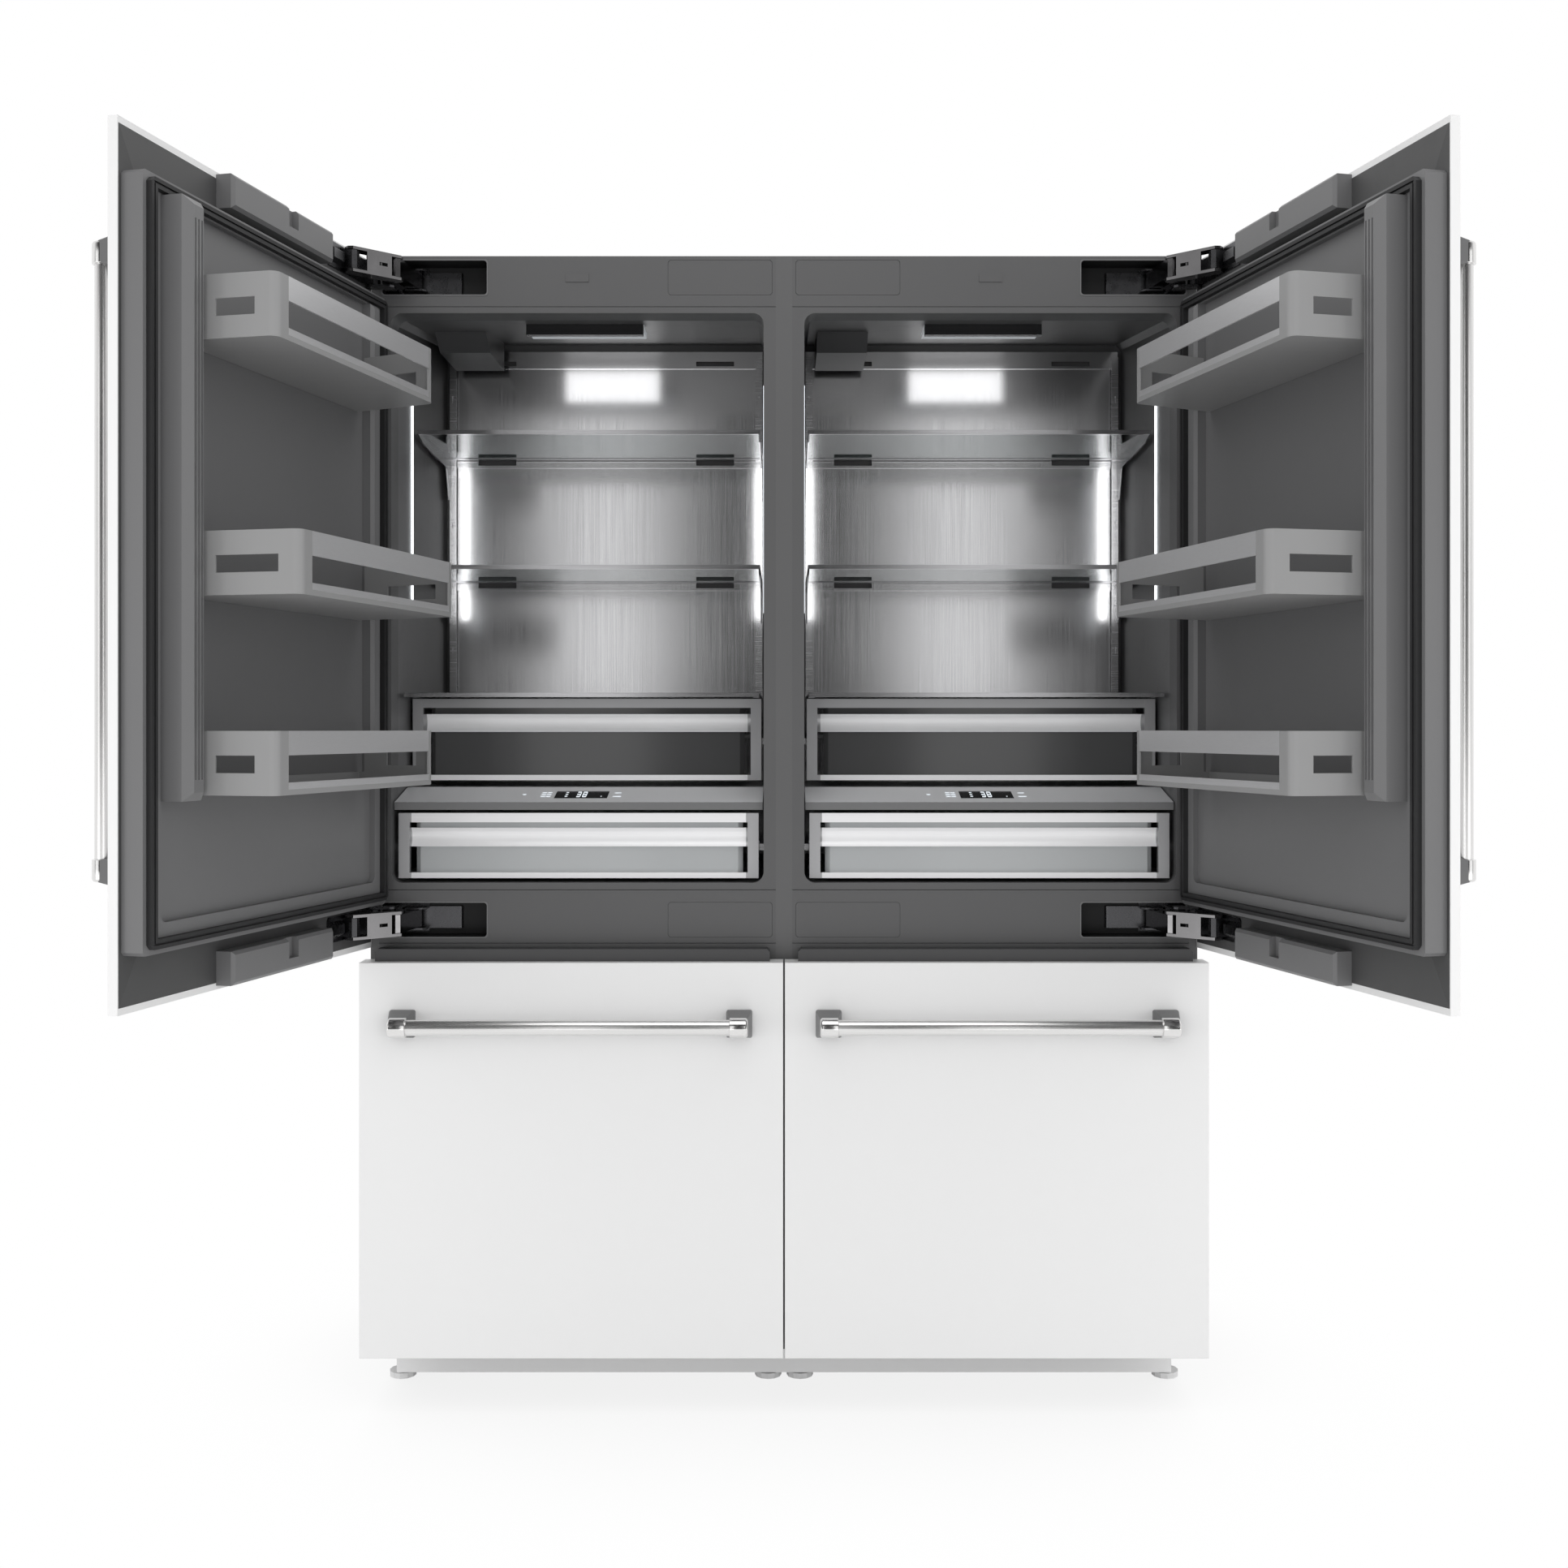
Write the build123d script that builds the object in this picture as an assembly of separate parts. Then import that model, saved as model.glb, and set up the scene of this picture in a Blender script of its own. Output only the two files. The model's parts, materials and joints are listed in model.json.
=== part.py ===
from build123d import *
import math
import os

# Pair of panel-ready refrigerator columns: two hinged doors over two freezer drawers.
# Millimetres. While modelling, x = 0 is the joint between the columns, y = 0 the front of the
# cabinet frame with +y to the back, and z = 0 the floor. The left column is modelled, and the
# right one is its mirror image or, for the fittings inside, its copy.

# ---- cabinet ---------------------------------------------------------------------------------
total_h = 2081.0
column_w = 751.0
case_d = 566.0
base_h = 95.0
skin = 1.5
flange_w = 15.0
frame_d = 58.0
seam = 1.0
liner_t = 2.0
anti_tip_r = 3.0
anti_tip_in = 90.0
anti_tip_back = 40.0

# ---- openings in the front frame, from the floor up and from the top down ----------------------
opening_side = 37.0
opening_r = 20.0
freezer_low = 65.0
freezer_h = 660.0
rim_h = 12.0
mullion_h = 97.0
fridge_low = 13.0
top_rail_h = 92.5
top_rim_h = 11.0
opening_w = column_w - 2 * opening_side
freezer_z0 = base_h + freezer_low
freezer_z1 = freezer_z0 + freezer_h
mullion_z0 = freezer_z1 + rim_h
mullion_z1 = mullion_z0 + mullion_h
fridge_z0 = mullion_z1 + fridge_low
rail_top_z = total_h - top_rail_h
fridge_z1 = rail_top_z - top_rim_h
ceiling_rise = 58.0
cavity_wall = 50.0
cavity_edge = 11.0
cavity_back = case_d - cavity_wall
machine_d = 230.0
machine_h = 235.0
foam_wall = 40.0
machine_top = base_h + machine_h
step_y = case_d - machine_d - foam_wall
cover_in = 6.0
cover_t = 2.5
cover_edge = 4.0
switch_w = 42.0
switch_h = 16.0
switch_t = 1.5

# ---- hinge pockets and the folding hinge -----------------------------------------------------
pocket_h = 62.0
pocket_d = 50.0
pocket_side = 21.0
pocket_w = 190.0
pocket_edge = 4.0
hinge_top_in = 39.0
hinge_low_up = 43.0
upper_hinge_z = total_h - hinge_top_in
lower_hinge_z = mullion_z0 + hinge_low_up
open_angle = 103.0
hinge_pin_in = 12.5
hinge_pin_out = 30.0
cabinet_pivot_in = 75.0
cabinet_pivot_back = 26.0
door_pivot_in = 105.0
door_pivot_gap = 17.0
pin_r = 5.0
pin_fit = 0.05
boss_r = 11.0
end_cut = 0.29
arm_h = 32.0
plate_r = 12.0
plate_t = 5.0
layer_gap = 1.0
hinge_plate_t = 3.0
cheek_edge = 6.0
ear_t = 4.0
ear_run = 27.0
web_t = 3.0
web_near = 14.0
web_far = 22.0
web_slot_w = 16.0
web_slot_h = 6.0
damper_w = 62.0
damper_t = 6.0
damper_r = 4.0
leaf_far = 62.0
leaf_edge = 5.0
heel_t = 12.0
heel_gap = 8.0
heel_in = 6.0

# ---- doors -----------------------------------------------------------------------------------
panel_over = 5.0
panel_gap = 3.0
panel_t = 16.0
panel_edge = 1.2
door_gap = 21.0
door_top_in = 13.0
drawer_top_in = 15.0
drawer_low_up = 4.5
drawer_z0 = base_h + drawer_low_up
drawer_z1 = freezer_z1 - drawer_top_in
panel_w = column_w + panel_over
door_z0 = drawer_z1 + door_gap
door_z1 = total_h - door_top_in
gasket_gap = 10.0
gasket_clear = 0.7
gasket_w = 14.0
gasket_in = 8.0
lip_w = 3.0
lip_d = 3.0
body_t = 34.0
body_side = 6.0
body_free = 8.0
body_edge = 5.0
body_low_up = 32.5
body_top_over = 17.5
body_z0 = lower_hinge_z + body_low_up
body_z1 = fridge_z1 + body_top_over
recess_in = 42.0
recess_top = 25.0
recess_d = 10.0
recess_r = 14.0
dyke_w = 48.0
dyke_h = 45.0
dyke_low_h = 11.0
dyke_low_w = 28.0
dyke_end = 12.0
rib_w = 3.0
rib_d = 2.0
rib_pitch = 8.0
rib_in = 30.0
hinge_cover_in = 195.0
hinge_cover_w = 315.0
hinge_cover_t = 30.0
hinge_cover_h = 52.0
hinge_cover_edge = 5.0
hinge_cover_low = 4.0
hinge_cover_drop = 17.0
cover_slot_at = 120.0
cover_slot_w = 30.0
cover_slot_d = 12.0
cover_slot_low = 6.0

# ---- crispers and control shelf, stacked from the cavity's floor -------------------------------
crisper_side = 38.5
upper_front_side = 6.5
lower_front_side = 9.5
crisper_w = opening_w - 2 * crisper_side
upper_front_w = opening_w - 2 * upper_front_side
lower_front_w = opening_w - 2 * lower_front_side
lower_up = 7.0
lower_h = 119.0
fascia_gap = 6.0
fascia_h = 37.5
upper_up = 12.5
upper_h = 155.0
cover_gap = 9.0
lower_z0 = fridge_z0 + lower_up
lower_z1 = lower_z0 + lower_h
fascia_z0 = lower_z1 + fascia_gap
fascia_z1 = fascia_z0 + fascia_h
upper_z0 = fascia_z1 + upper_up
upper_z1 = upper_z0 + upper_h
cover_level = upper_z1 + cover_gap
upper_front_y = 150.0
lower_front_y = 18.0
crisper_t = 3.0
crisper_cap = 20.0
crisper_cap_d = 12.0
top_band_h = 17.0
pull_h = 34.0
pull_d = 14.0
trim_h = 10.0
band_back = 2.0
trim_back = 1.0
scoop_d = 0.6
scoop_at = 0.45
upper_pull_drop = 29.0
lower_pull_drop = 27.0
tub_edge = 9.0
tub_low = 3.0
upper_rest = upper_z0 + 80.0
lower_rest = lower_z0 + 60.0
slide_side = 8.0
slide_front = 12.0
slide_back = 6.0
slide_lift = 0.8
slide_t = 6.2
rest_w = 18.0
rest_t = 12.0
rest_front = 10.0
rest_more = 40.0
fascia_lip = 13.5
fascia_y0 = 16.0
fascia_y1 = 126.0
fascia_t = 8.0
fascia_lip_t = 14.0
side_gap = 2.0
display_w = 98.0
display_d = 52.0
display_t = 2.0
display_proud = 0.3

# ---- shelves, lamps and small fittings -------------------------------------------------------
shelf_side = 9.0
shelf_w = opening_w - 2 * shelf_side
shelf_front = 175.0
shelf_glass_t = 5.0
top_shelf_drop = 182.5
mid_shelf_low = 5.5
top_shelf = fridge_z1 - top_shelf_drop
mid_shelf = (cover_level + top_shelf) / 2 - mid_shelf_low
cover_front = 62.0
trim_d = 9.0
trim_over = 1.0
trim_under = 2.0
pane_in = 3.0
cover_rim = 12.0
bracket_drop = 92.0
bracket_t = 3.0
hook_w = 14.0
arm_back = 40.0
arm_mid = 30.0
arm_front = 16.0
track_w = 14.0
track_d = 7.0
track_low_up = 12.0
track_top = 30.0
slot_pitch = 88.0
slot_w = 4.0
slot_h = 14.0
slot_left = 2.0
back_edge = 16.0
back_gap = 8.0
back_t = 2.0
duct_drop = 12.0
duct_top = 15.5
duct_h = 20.0
duct_d = 5.0
vent_w = 80.0
vent_h = 10.0
vent_x = 230.0
led_low_up = 156.0
led_top = 97.5
led_y = 168.0
led_w = 6.0
led_t = 2.5
lamp_w = 220.0
lamp_y = 130.0
lamp_d = 70.0
lamp_t = 10.0
strip_y = 112.0
strip_d = 17.0
strip_h = 20.0
filter_y = 250.0
filter_back = 46.0
filter_drop = 30.0
filter_slope = 50.0
filter_in = 28.0
filter_w = 100.0

# ---- door bins -------------------------------------------------------------------------------
bin_h = 92.0
bin_wall = 3.0
bin_tray_h = 20.0
bin_band_h = 35.0
bin_rail_z = 8.0
bin_rail_h = 10.0
bin_reach = 141.0
bin_deep_reach = 178.0
bin_root_in = 100.0
bin_taper = 40.0
bin_cap = 34.0
bin_r = 14.0
bin_back_in = 6.0
window_in = 55.0
window_out = 34.0
window_z = 32.0
low_bin_up = 3.0
top_bin_drop = 200.5
mid_bin_low = 40.0
dyke_under = 7.0
low_bin = upper_z0 + low_bin_up
top_bin = fridge_z1 - top_bin_drop
mid_bin = (low_bin + top_bin) / 2 - mid_bin_low
dyke_z0 = low_bin - dyke_under

# ---- freezer drawer --------------------------------------------------------------------------
drawer_wrap = 9.0
drawer_body_over = 7.0
basket_side = 48.5
basket_up = 12.0
basket_under = 254.0
basket_gap = 16.0
basket_t = 4.0
basket_edge = 12.0
flange_t = 5.0
flange_in = 20.0
runner_t = 12.0
runner_h = 40.0
runner_in = 4.0
runner_end = 30.0
rail_gap = 0.6
rail_t = 8.0
rail_h = 24.0
rail_end = 46.0
tray_travel = 150.0
tray_end = 46.0
tray_under = 44.0
tray_front = 20.0
tray_edge = 16.0
tray_lift = 0.8
tray_step = 4.0
skid_h = 8.0
skid_in = 26.0
skid_side = 6.0
step_in = 14.0
step_t = 3.0
step_h = 80.0
drawer_seal_low = 36.0
drawer_seal_top = 3.0
drawer_body_z1 = freezer_z1 + drawer_body_over
basket_w = opening_w - 2 * basket_side
basket_d = step_y - basket_gap + gasket_gap
basket_z0 = freezer_z0 + basket_up
basket_z1 = freezer_z1 - basket_under
rail_back = cavity_back - rail_end
tray_d = cavity_back - tray_end - tray_travel - tray_front
tray_z1 = freezer_z1 - tray_under

# ---- handles ---------------------------------------------------------------------------------
bar_r = 14.0
bar_reach = 45.0
post_w = 46.0
post_h = 49.0
sleeve_l = 32.0
sleeve_r = 17.5
sleeve_edge = 1.5
door_bar_up = 172.0
door_bar_top = 149.0
door_bar_in = 60.0
drawer_bar_side = 55.0
drawer_bar_drop = 108.0
door_bar_z0 = door_z0 + door_bar_up
door_bar_z1 = door_z1 - door_bar_top
drawer_bar_l = panel_w - 2 * drawer_bar_side
drawer_bar_z = drawer_z1 - drawer_bar_drop

# ---- base and machine compartment --------------------------------------------------------------
plinth_front = 110.0
plinth_rail = 40.0
plinth_in = 10.0
plinth_t = 4.0
foot_r = 25.0
foot_h = 10.0
post_hex_r = 8.0
leg_l = 30.0
grille_t = 8.0
grille_in = 24.0
grille_low = 4.0
grille_top = 2.0
grille_slots = 14
grille_open = 0.72
grille_slot_h = 9.0
grille_rows = (52.0, 28.0)
compressor_r = 85.0
compressor_h = 185.0
compressor_in = 120.0
compressor_edge = 26.0
compressor_lift = 14.0
stand_w = 200.0
stand_d = 140.0
stand_t = 5.0
stand_lift = 10.0
bush_r = 9.0
bush_in = 20.0
stub_r = 5.0
stub_l = 35.0
rear_in = 6.0
rear_top = 2.0
vent_rows = 4
vent_pitch = 42.0
vent_low = 45.0
vent_slot_w = 220.0
vent_slot_h = 8.0
vent_gap = 80.0

# ---- worked out ------------------------------------------------------------------------------
mid_x = -column_w / 2
wall_x = opening_w / 2
door_front = -(gasket_gap + body_t + panel_t)
panel_back = door_front + panel_t
body_back = -gasket_gap
panel_x1 = -panel_gap / 2
panel_x0 = panel_x1 - panel_w
body_x0 = -column_w + body_side
body_x1 = panel_x1 - body_free
shelf_back = cavity_back - back_gap - back_t - duct_d
crisper_back = 49.0
crisper_d = shelf_back - crisper_back - upper_front_y - crisper_cap_d
hinge_pin = (-column_w + hinge_pin_in, -hinge_pin_out)
left_open = Pos(*hinge_pin) * Rot(0, 0, -open_angle) * Pos(-hinge_pin[0], -hinge_pin[1])


def block(x0, x1, y0, y1, z0, z1):
    """Rectangular solid between two corners."""
    return Pos((x0 + x1) / 2, (y0 + y1) / 2, (z0 + z1) / 2) * Box(x1 - x0, y1 - y0, z1 - z0)


def soft_block(x0, x1, y0, y1, z0, z1, radius, axis):
    """Rectangular solid whose edges along one axis are rounded."""
    solid = block(x0, x1, y0, y1, z0, z1)
    return fillet(solid.edges().filter_by(axis), radius)


def chamfered_block(x0, x1, y0, y1, z0, z1, size, axis):
    """Rectangular solid whose edges along one axis are chamfered."""
    solid = block(x0, x1, y0, y1, z0, z1)
    return chamfer(solid.edges().filter_by(axis), size)


def tub(x0, x1, y0, y1, z0, z1, wall, edge):
    """Open box of even wall, with chamfered corners."""
    outer = chamfered_block(x0, x1, y0, y1, z0, z1, edge, Axis.Z)
    edge -= (2 - math.sqrt(2)) * wall
    x0, x1, y0, y1 = x0 + wall, x1 - wall, y0 + wall, y1 - wall
    return outer - chamfered_block(x0, x1, y0, y1, z0 + wall, z1 + 1, edge, Axis.Z)


def side_profile(points, x0, x1):
    """Outline of (y, z) points, extruded along x from x0 to x1."""
    face = make_face(Plane.YZ * Polyline(*points, close=True))
    return Pos(x0, 0, 0) * extrude(face, x1 - x0, dir=(1, 0, 0))


def group(*pieces):
    """Separate solids that share one node."""
    return Compound([solid for piece in pieces for solid in piece.solids()])


def mirrored(piece):
    """The same piece on the right column, as its mirror image."""
    return group(*[mirror(solid, about=Plane.YZ) for solid in piece.solids()])


def copied(piece):
    """The same piece on the right column, not mirrored."""
    return Pos(column_w, 0, 0) * piece


# ---- the hinge's positions -------------------------------------------------------------------

def heading(a, b):
    """Direction from a to b in degrees."""
    return math.degrees(math.atan2(b[1] - a[1], b[0] - a[0]))


pivot_1 = (-column_w + cabinet_pivot_in, cabinet_pivot_back)
pivot_3_shut = (panel_x0 + door_pivot_in, panel_back + door_pivot_gap)
pivot_3_at = (left_open * Pos(*pivot_3_shut)).position
pivot_3 = (pivot_3_at.X, pivot_3_at.Y)
pivot_2 = (pivot_3[0] + pivot_1[0] - hinge_pin[0], pivot_3[1] + pivot_1[1] - hinge_pin[1])


def upright(radius, at, z0, z1):
    """Round pin or boss standing at a plan point."""
    return Pos(at[0], at[1], (z0 + z1) / 2) * Cylinder(radius, z1 - z0)


def bar_between(a, b, width, z0, z1):
    """Flat bar with chamfered ends, one around each of two plan points."""
    run = Rectangle(math.dist(a, b) + width, width)
    run = chamfer(run.vertices(), end_cut * width)
    place = Pos((a[0] + b[0]) / 2, (a[1] + b[1]) / 2, z0) * Rot(0, 0, heading(a, b))
    return extrude(place * run, z1 - z0)


def pocket_bracket(z):
    """Steel bracket in the pocket: cheeks with the arm's pin, cranked ears with the door's pin, damper."""
    half = arm_h / 2 + layer_gap
    reach = half + hinge_plate_t
    ear = half + plate_t + layer_gap
    tall = ear + ear_t
    bend = (hinge_pin[0] + ear_run, hinge_pin[1])
    x0, x1 = pivot_1[0] - 2 * boss_r, pivot_1[0] + 2 * boss_r
    body = block(bend[0] - boss_r, x1, pocket_d - hinge_plate_t, pocket_d, z - tall, z + tall)
    for low in (z - reach, z + half):
        body += chamfered_block(x0, x1, pivot_1[1] - boss_r, pocket_d, low, low + hinge_plate_t, cheek_edge,
                                Axis.Z)
    for low in (z - tall, z + ear):
        body += bar_between(hinge_pin, bend, 2 * boss_r, low, low + ear_t)
        body += bar_between(bend, (bend[0], pocket_d - boss_r), 2 * boss_r, low, low + ear_t)
    body += upright(pin_r, pivot_1, z - reach, z + reach) + upright(pin_r, hinge_pin, z - tall, z + tall)
    damper = block(x1 - damper_r, x1 + damper_w, pocket_d - damper_t, pocket_d, z - reach, z + reach)
    end = damper.faces().sort_by(Axis.X)[-1].edges().filter_by(Axis.Z).sort_by(Axis.Y)[0]
    return body + fillet(end, damper_r)


def swing_arm(z):
    """Arm from the pocket's pin to the elbow, parallel to the door's own arm and bored at both ends."""
    body = bar_between(pivot_1, pivot_2, 2 * boss_r, z - arm_h / 2, z + arm_h / 2)
    for at in (pivot_1, pivot_2):
        body -= upright(pin_r + pin_fit, at, z - total_h, z + total_h)
    return body


def link(z):
    """Channel link from the elbow to the door: two plates, a slotted web along one side and two pins."""
    low = arm_h / 2 + layer_gap
    top = low + plate_t
    body = bar_between(pivot_2, pivot_3, 2 * plate_r, z + low, z + top)
    body += bar_between(pivot_2, pivot_3, 2 * plate_r, z - top, z - low)
    length = math.dist(pivot_2, pivot_3) - web_near - web_far
    place = Pos(*pivot_2, z) * Rot(0, 0, heading(pivot_2, pivot_3)) * Pos(0, plate_r - web_t / 2)
    body += place * Pos(web_near + length / 2, 0) * Box(length, web_t, 2 * top)
    body -= place * Pos(web_near + web_slot_w, 0) * Box(web_slot_w, 2 * web_t, web_slot_h)
    for at in (pivot_2, pivot_3):
        body += upright(pin_r, at, z - low, z + low)
    return body


def knuckle(at, z, half):
    """Boss on the back of the door panel, round one of the hinge's pins."""
    x, y = at
    neck = block(x - boss_r, x + boss_r, panel_back, y, z - half, z + half)
    return neck + chamfered_block(x - boss_r, x + boss_r, y - boss_r, y + boss_r, z - half, z + half,
                                  2 * end_cut * boss_r, Axis.Z)


def door_leaf(z):
    """Leaf screwed to the door panel, with bored knuckles for the fixed pin and for the link's pin."""
    half = arm_h / 2
    tall = half + layer_gap + plate_t
    x = pivot_3_shut[0]
    plate = chamfered_block(hinge_pin[0] - boss_r, x + leaf_far, panel_back, panel_back + hinge_plate_t,
                            z - tall, z + tall, leaf_edge, Axis.Y)
    heel = side_profile([(panel_back, z - half), (panel_back + heel_t, z - half / 2),
                         (panel_back + heel_t, z + half / 2), (panel_back, z + half)],
                        x + boss_r + heel_gap, x + leaf_far - heel_in)
    body = plate + heel + knuckle(hinge_pin, z, tall) + knuckle(pivot_3_shut, z, half)
    for at in (hinge_pin, pivot_3_shut):
        body -= upright(pin_r + pin_fit, at, z - tall - 1, z + tall + 1)
    return body


# ---- cabinet ---------------------------------------------------------------------------------

def fridge_space(grow):
    """Fresh-food cavity behind the frame, its ceiling rising to the back; grown, it keeps sharp corners."""
    z0, z1 = fridge_z0 - grow, fridge_z1 + grow
    back = cavity_back + grow
    points = [(frame_d, z0), (back, z0), (back, z1 + ceiling_rise), (frame_d, z1)]
    space = side_profile(points, mid_x - wall_x - grow, mid_x + wall_x + grow)
    if grow:
        return space
    return chamfer([e for e in space.edges() if abs(e.tangent_at(0.5).Y) > 0.9], cavity_edge)


def freezer_space(grow):
    """Freezer cavity, stepped forward over the machine compartment."""
    z0, z1 = freezer_z0 - grow, freezer_z1 + grow
    front, back = step_y + grow, cavity_back + grow
    step_z = machine_top + foam_wall - grow
    points = [(frame_d, z0), (front, z0), (front, step_z), (back, step_z), (back, z1), (frame_d, z1)]
    space = side_profile(points, mid_x - wall_x - grow, mid_x + wall_x + grow)
    if grow:
        return space
    corners = [e for e in space.edges() if abs(e.tangent_at(0.5).Y) > 0.9 and abs(e.center().Z - step_z) > 1]
    return chamfer(corners, cavity_edge)


def machine_space():
    """Compartment for the compressor at the bottom of the back."""
    x0, x1 = -column_w + skin, -skin
    return block(x0, x1, case_d - machine_d, case_d + skin, base_h + skin, machine_top)


def case():
    """Folded steel wrapper: sides, top, back and floor, with front flanges."""
    body = block(-column_w, 0, 0, case_d, base_h, total_h)
    body -= block(-column_w + skin, -skin, -skin, case_d - skin, base_h + skin, total_h - skin)
    body += block(-column_w, -column_w + flange_w, 0, skin, base_h, total_h)
    body += block(-flange_w, 0, 0, skin, base_h, total_h)
    body -= machine_space()
    for x in anti_tip_x():
        body -= upright(anti_tip_r, (x, anti_tip_y()), total_h - 2 * skin, total_h + skin)
    return body


def anti_tip_x():
    """Screw holes for the anti-tip bracket, in from each side of the top."""
    return (-column_w + anti_tip_in, -anti_tip_in)


def anti_tip_y():
    """Depth of the anti-tip screw holes."""
    return case_d - anti_tip_back


def foam():
    """Rigid foam between the wrapper and the liners."""
    body = block(-column_w + skin, -skin, frame_d, case_d - skin, base_h + skin, total_h - skin)
    body -= fridge_space(liner_t)
    body -= freezer_space(liner_t)
    return body - machine_space()


def front_opening(z0, z1):
    """Cutter for a cavity mouth with rounded corners."""
    return soft_block(mid_x - wall_x, mid_x + wall_x, -1, frame_d + 1, z0, z1, opening_r, Axis.Y)


def pocket_cut(z):
    """Cutter for a hinge pocket."""
    x0 = -column_w + pocket_side
    half = pocket_h / 2
    return chamfered_block(x0, x0 + pocket_w, -1, pocket_d, z - half, z + half, pocket_edge, Axis.Y)


def blank_cover(z, clear):
    """Cover over the unused pocket, or with no clearance the recess that it lies in."""
    x1 = -flange_w - cover_in - clear
    half = pocket_h / 2 + seam - clear
    x0 = x1 - pocket_w + 2 * clear
    return chamfered_block(x0, x1, 0.0 if clear else -1, cover_t, z - half, z + half, cover_edge, Axis.Y)


def frame_length(z0, z1):
    """Solid length of the front frame, tucked behind the wrapper's flanges at both sides."""
    body = block(-column_w + skin, -skin, skin, frame_d, z0, z1)
    return body + block(-column_w + flange_w, -flange_w, 0, skin, z0, z1)


def frame_ring(z0, z1, low, high):
    """Frame round a cavity's mouth: two stiles, and the rails with the rounded corners at their ends."""
    ring = frame_length(z0, z1) - front_opening(low, high)
    cuts = (z0, low + opening_r, high - opening_r, z1)
    return group(*[ring & block(-column_w, 0, -1, frame_d + 1, a, b) for a, b in zip(cuts, cuts[1:])])


def front_frame():
    """Front frame: rings round both cavities, rails with hinge pockets, blank covers and a switch cap."""
    rail = frame_length(rail_top_z + seam, total_h - skin) - pocket_cut(upper_hinge_z)
    rail -= blank_cover(upper_hinge_z, 0)
    upper = frame_ring(mullion_z1 + seam, rail_top_z, fridge_z0, fridge_z1)
    mullion = frame_length(mullion_z0 + seam, mullion_z1) - pocket_cut(lower_hinge_z)
    mullion -= blank_cover(lower_hinge_z, 0)
    lower = frame_ring(base_h + skin, mullion_z0, freezer_z0, freezer_z1)
    w, h = switch_w / 2, switch_h / 2
    cap = block(mid_x - w, mid_x + w, -switch_t, 0, upper_hinge_z - h, upper_hinge_z + h)
    covers = [blank_cover(z, seam / 2) for z in (upper_hinge_z, lower_hinge_z)]
    return group(rail, upper, mullion, lower, cap, *covers)


def back_wall():
    """Steel back wall with three duct strips, each with two vents."""
    y1 = cavity_back - back_gap
    x0, x1 = mid_x - wall_x + back_gap, mid_x + wall_x - back_gap
    body = block(x0, x1, y1 - back_t, y1, fridge_z0 + back_edge, fridge_z1 + ceiling_rise - back_edge)
    for z in (mid_shelf - duct_drop, top_shelf - duct_drop, fridge_z1 + duct_top):
        body += block(x0, x1, y1 - back_t - duct_d, y1 - back_t, z - duct_h / 2, z + duct_h / 2)
        for side in (-1, 1):
            x = mid_x + side * vent_x
            body -= block(x - vent_w / 2, x + vent_w / 2, 0, case_d, z - vent_h / 2, z + vent_h / 2)
    return body


def shelf_track(side):
    """Slotted upright beside the back wall, which the shelf arms hook into."""
    x = mid_x + side * (shelf_w / 2 - track_w / 2)
    y0, y1 = shelf_back - track_d, shelf_back
    z0, z1 = cover_level + track_low_up, fridge_z1 + ceiling_rise - track_top
    body = block(x - track_w / 2, x + track_w / 2, y0, y1, z0, z1)
    slots = int((z1 - z0 - slot_pitch) // slot_pitch)
    for n in range(slots):
        z = z0 + (n + 1) * slot_pitch
        body -= block(x - slot_w / 2, x + slot_w / 2, y0 - 1, y1 - slot_left, z - slot_h / 2, z + slot_h / 2)
    return body


def shelf_pane(level, front):
    """Glass of one shelf, its top at the level."""
    half = shelf_w / 2 - bracket_t
    back = shelf_back - track_d - seam
    return block(mid_x - half, mid_x + half, front + pane_in, back - pane_in, level - shelf_glass_t, level)


def shelf_metal(level, front):
    """Front and rear trims of a shelf, round the glass, with a hooked arm at each side."""
    half = shelf_w / 2 - bracket_t
    back = shelf_back - track_d - seam
    low, top = level - shelf_glass_t - trim_under, level + trim_over
    body = block(mid_x - half, mid_x + half, front, front + trim_d, low, top)
    body += block(mid_x - half, mid_x + half, back - trim_d, back, low, top)
    for side in (-1, 1):
        inner = mid_x + side * half
        outer = mid_x + side * shelf_w / 2
        points = [(front, top), (back, top), (back, level - bracket_drop)]
        points += [(back - hook_w, level - bracket_drop), (back - arm_back, level - arm_mid)]
        points += [(front + arm_back, level - arm_front), (front, low)]
        body += side_profile(points, min(inner, outer), max(inner, outer))
    return body - shelf_pane(level, front)


def cover_metal():
    """Frame of the glass shelf over the crisper."""
    half, inner = shelf_w / 2, shelf_w / 2 - cover_rim
    back = shelf_back - track_d - seam
    low, top = cover_level - shelf_glass_t - trim_under, cover_level + trim_over
    body = block(mid_x - half, mid_x + half, cover_front, back, low, top)
    body -= block(mid_x - inner, mid_x + inner, cover_front + trim_d, back - trim_d, low - 1, top + 1)
    return body - shelf_pane(cover_level, cover_front)


def fascia():
    """Control shelf: a slanted front over a lip, then a flat shelf to the back wall."""
    half = wall_x - side_gap
    lip = fascia_z0 + fascia_lip
    back = shelf_back - track_d - seam
    points = [(fascia_y0, fascia_z0), (fascia_y0, lip), (fascia_y1, fascia_z1), (back, fascia_z1),
              (back, fascia_z1 - fascia_t), (fascia_y1, fascia_z1 - fascia_t),
              (fascia_y0 + fascia_lip_t, lip - fascia_t), (fascia_y0 + fascia_lip_t, fascia_z0)]
    return side_profile(points, mid_x - half, mid_x + half) - display_window(0)


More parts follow.
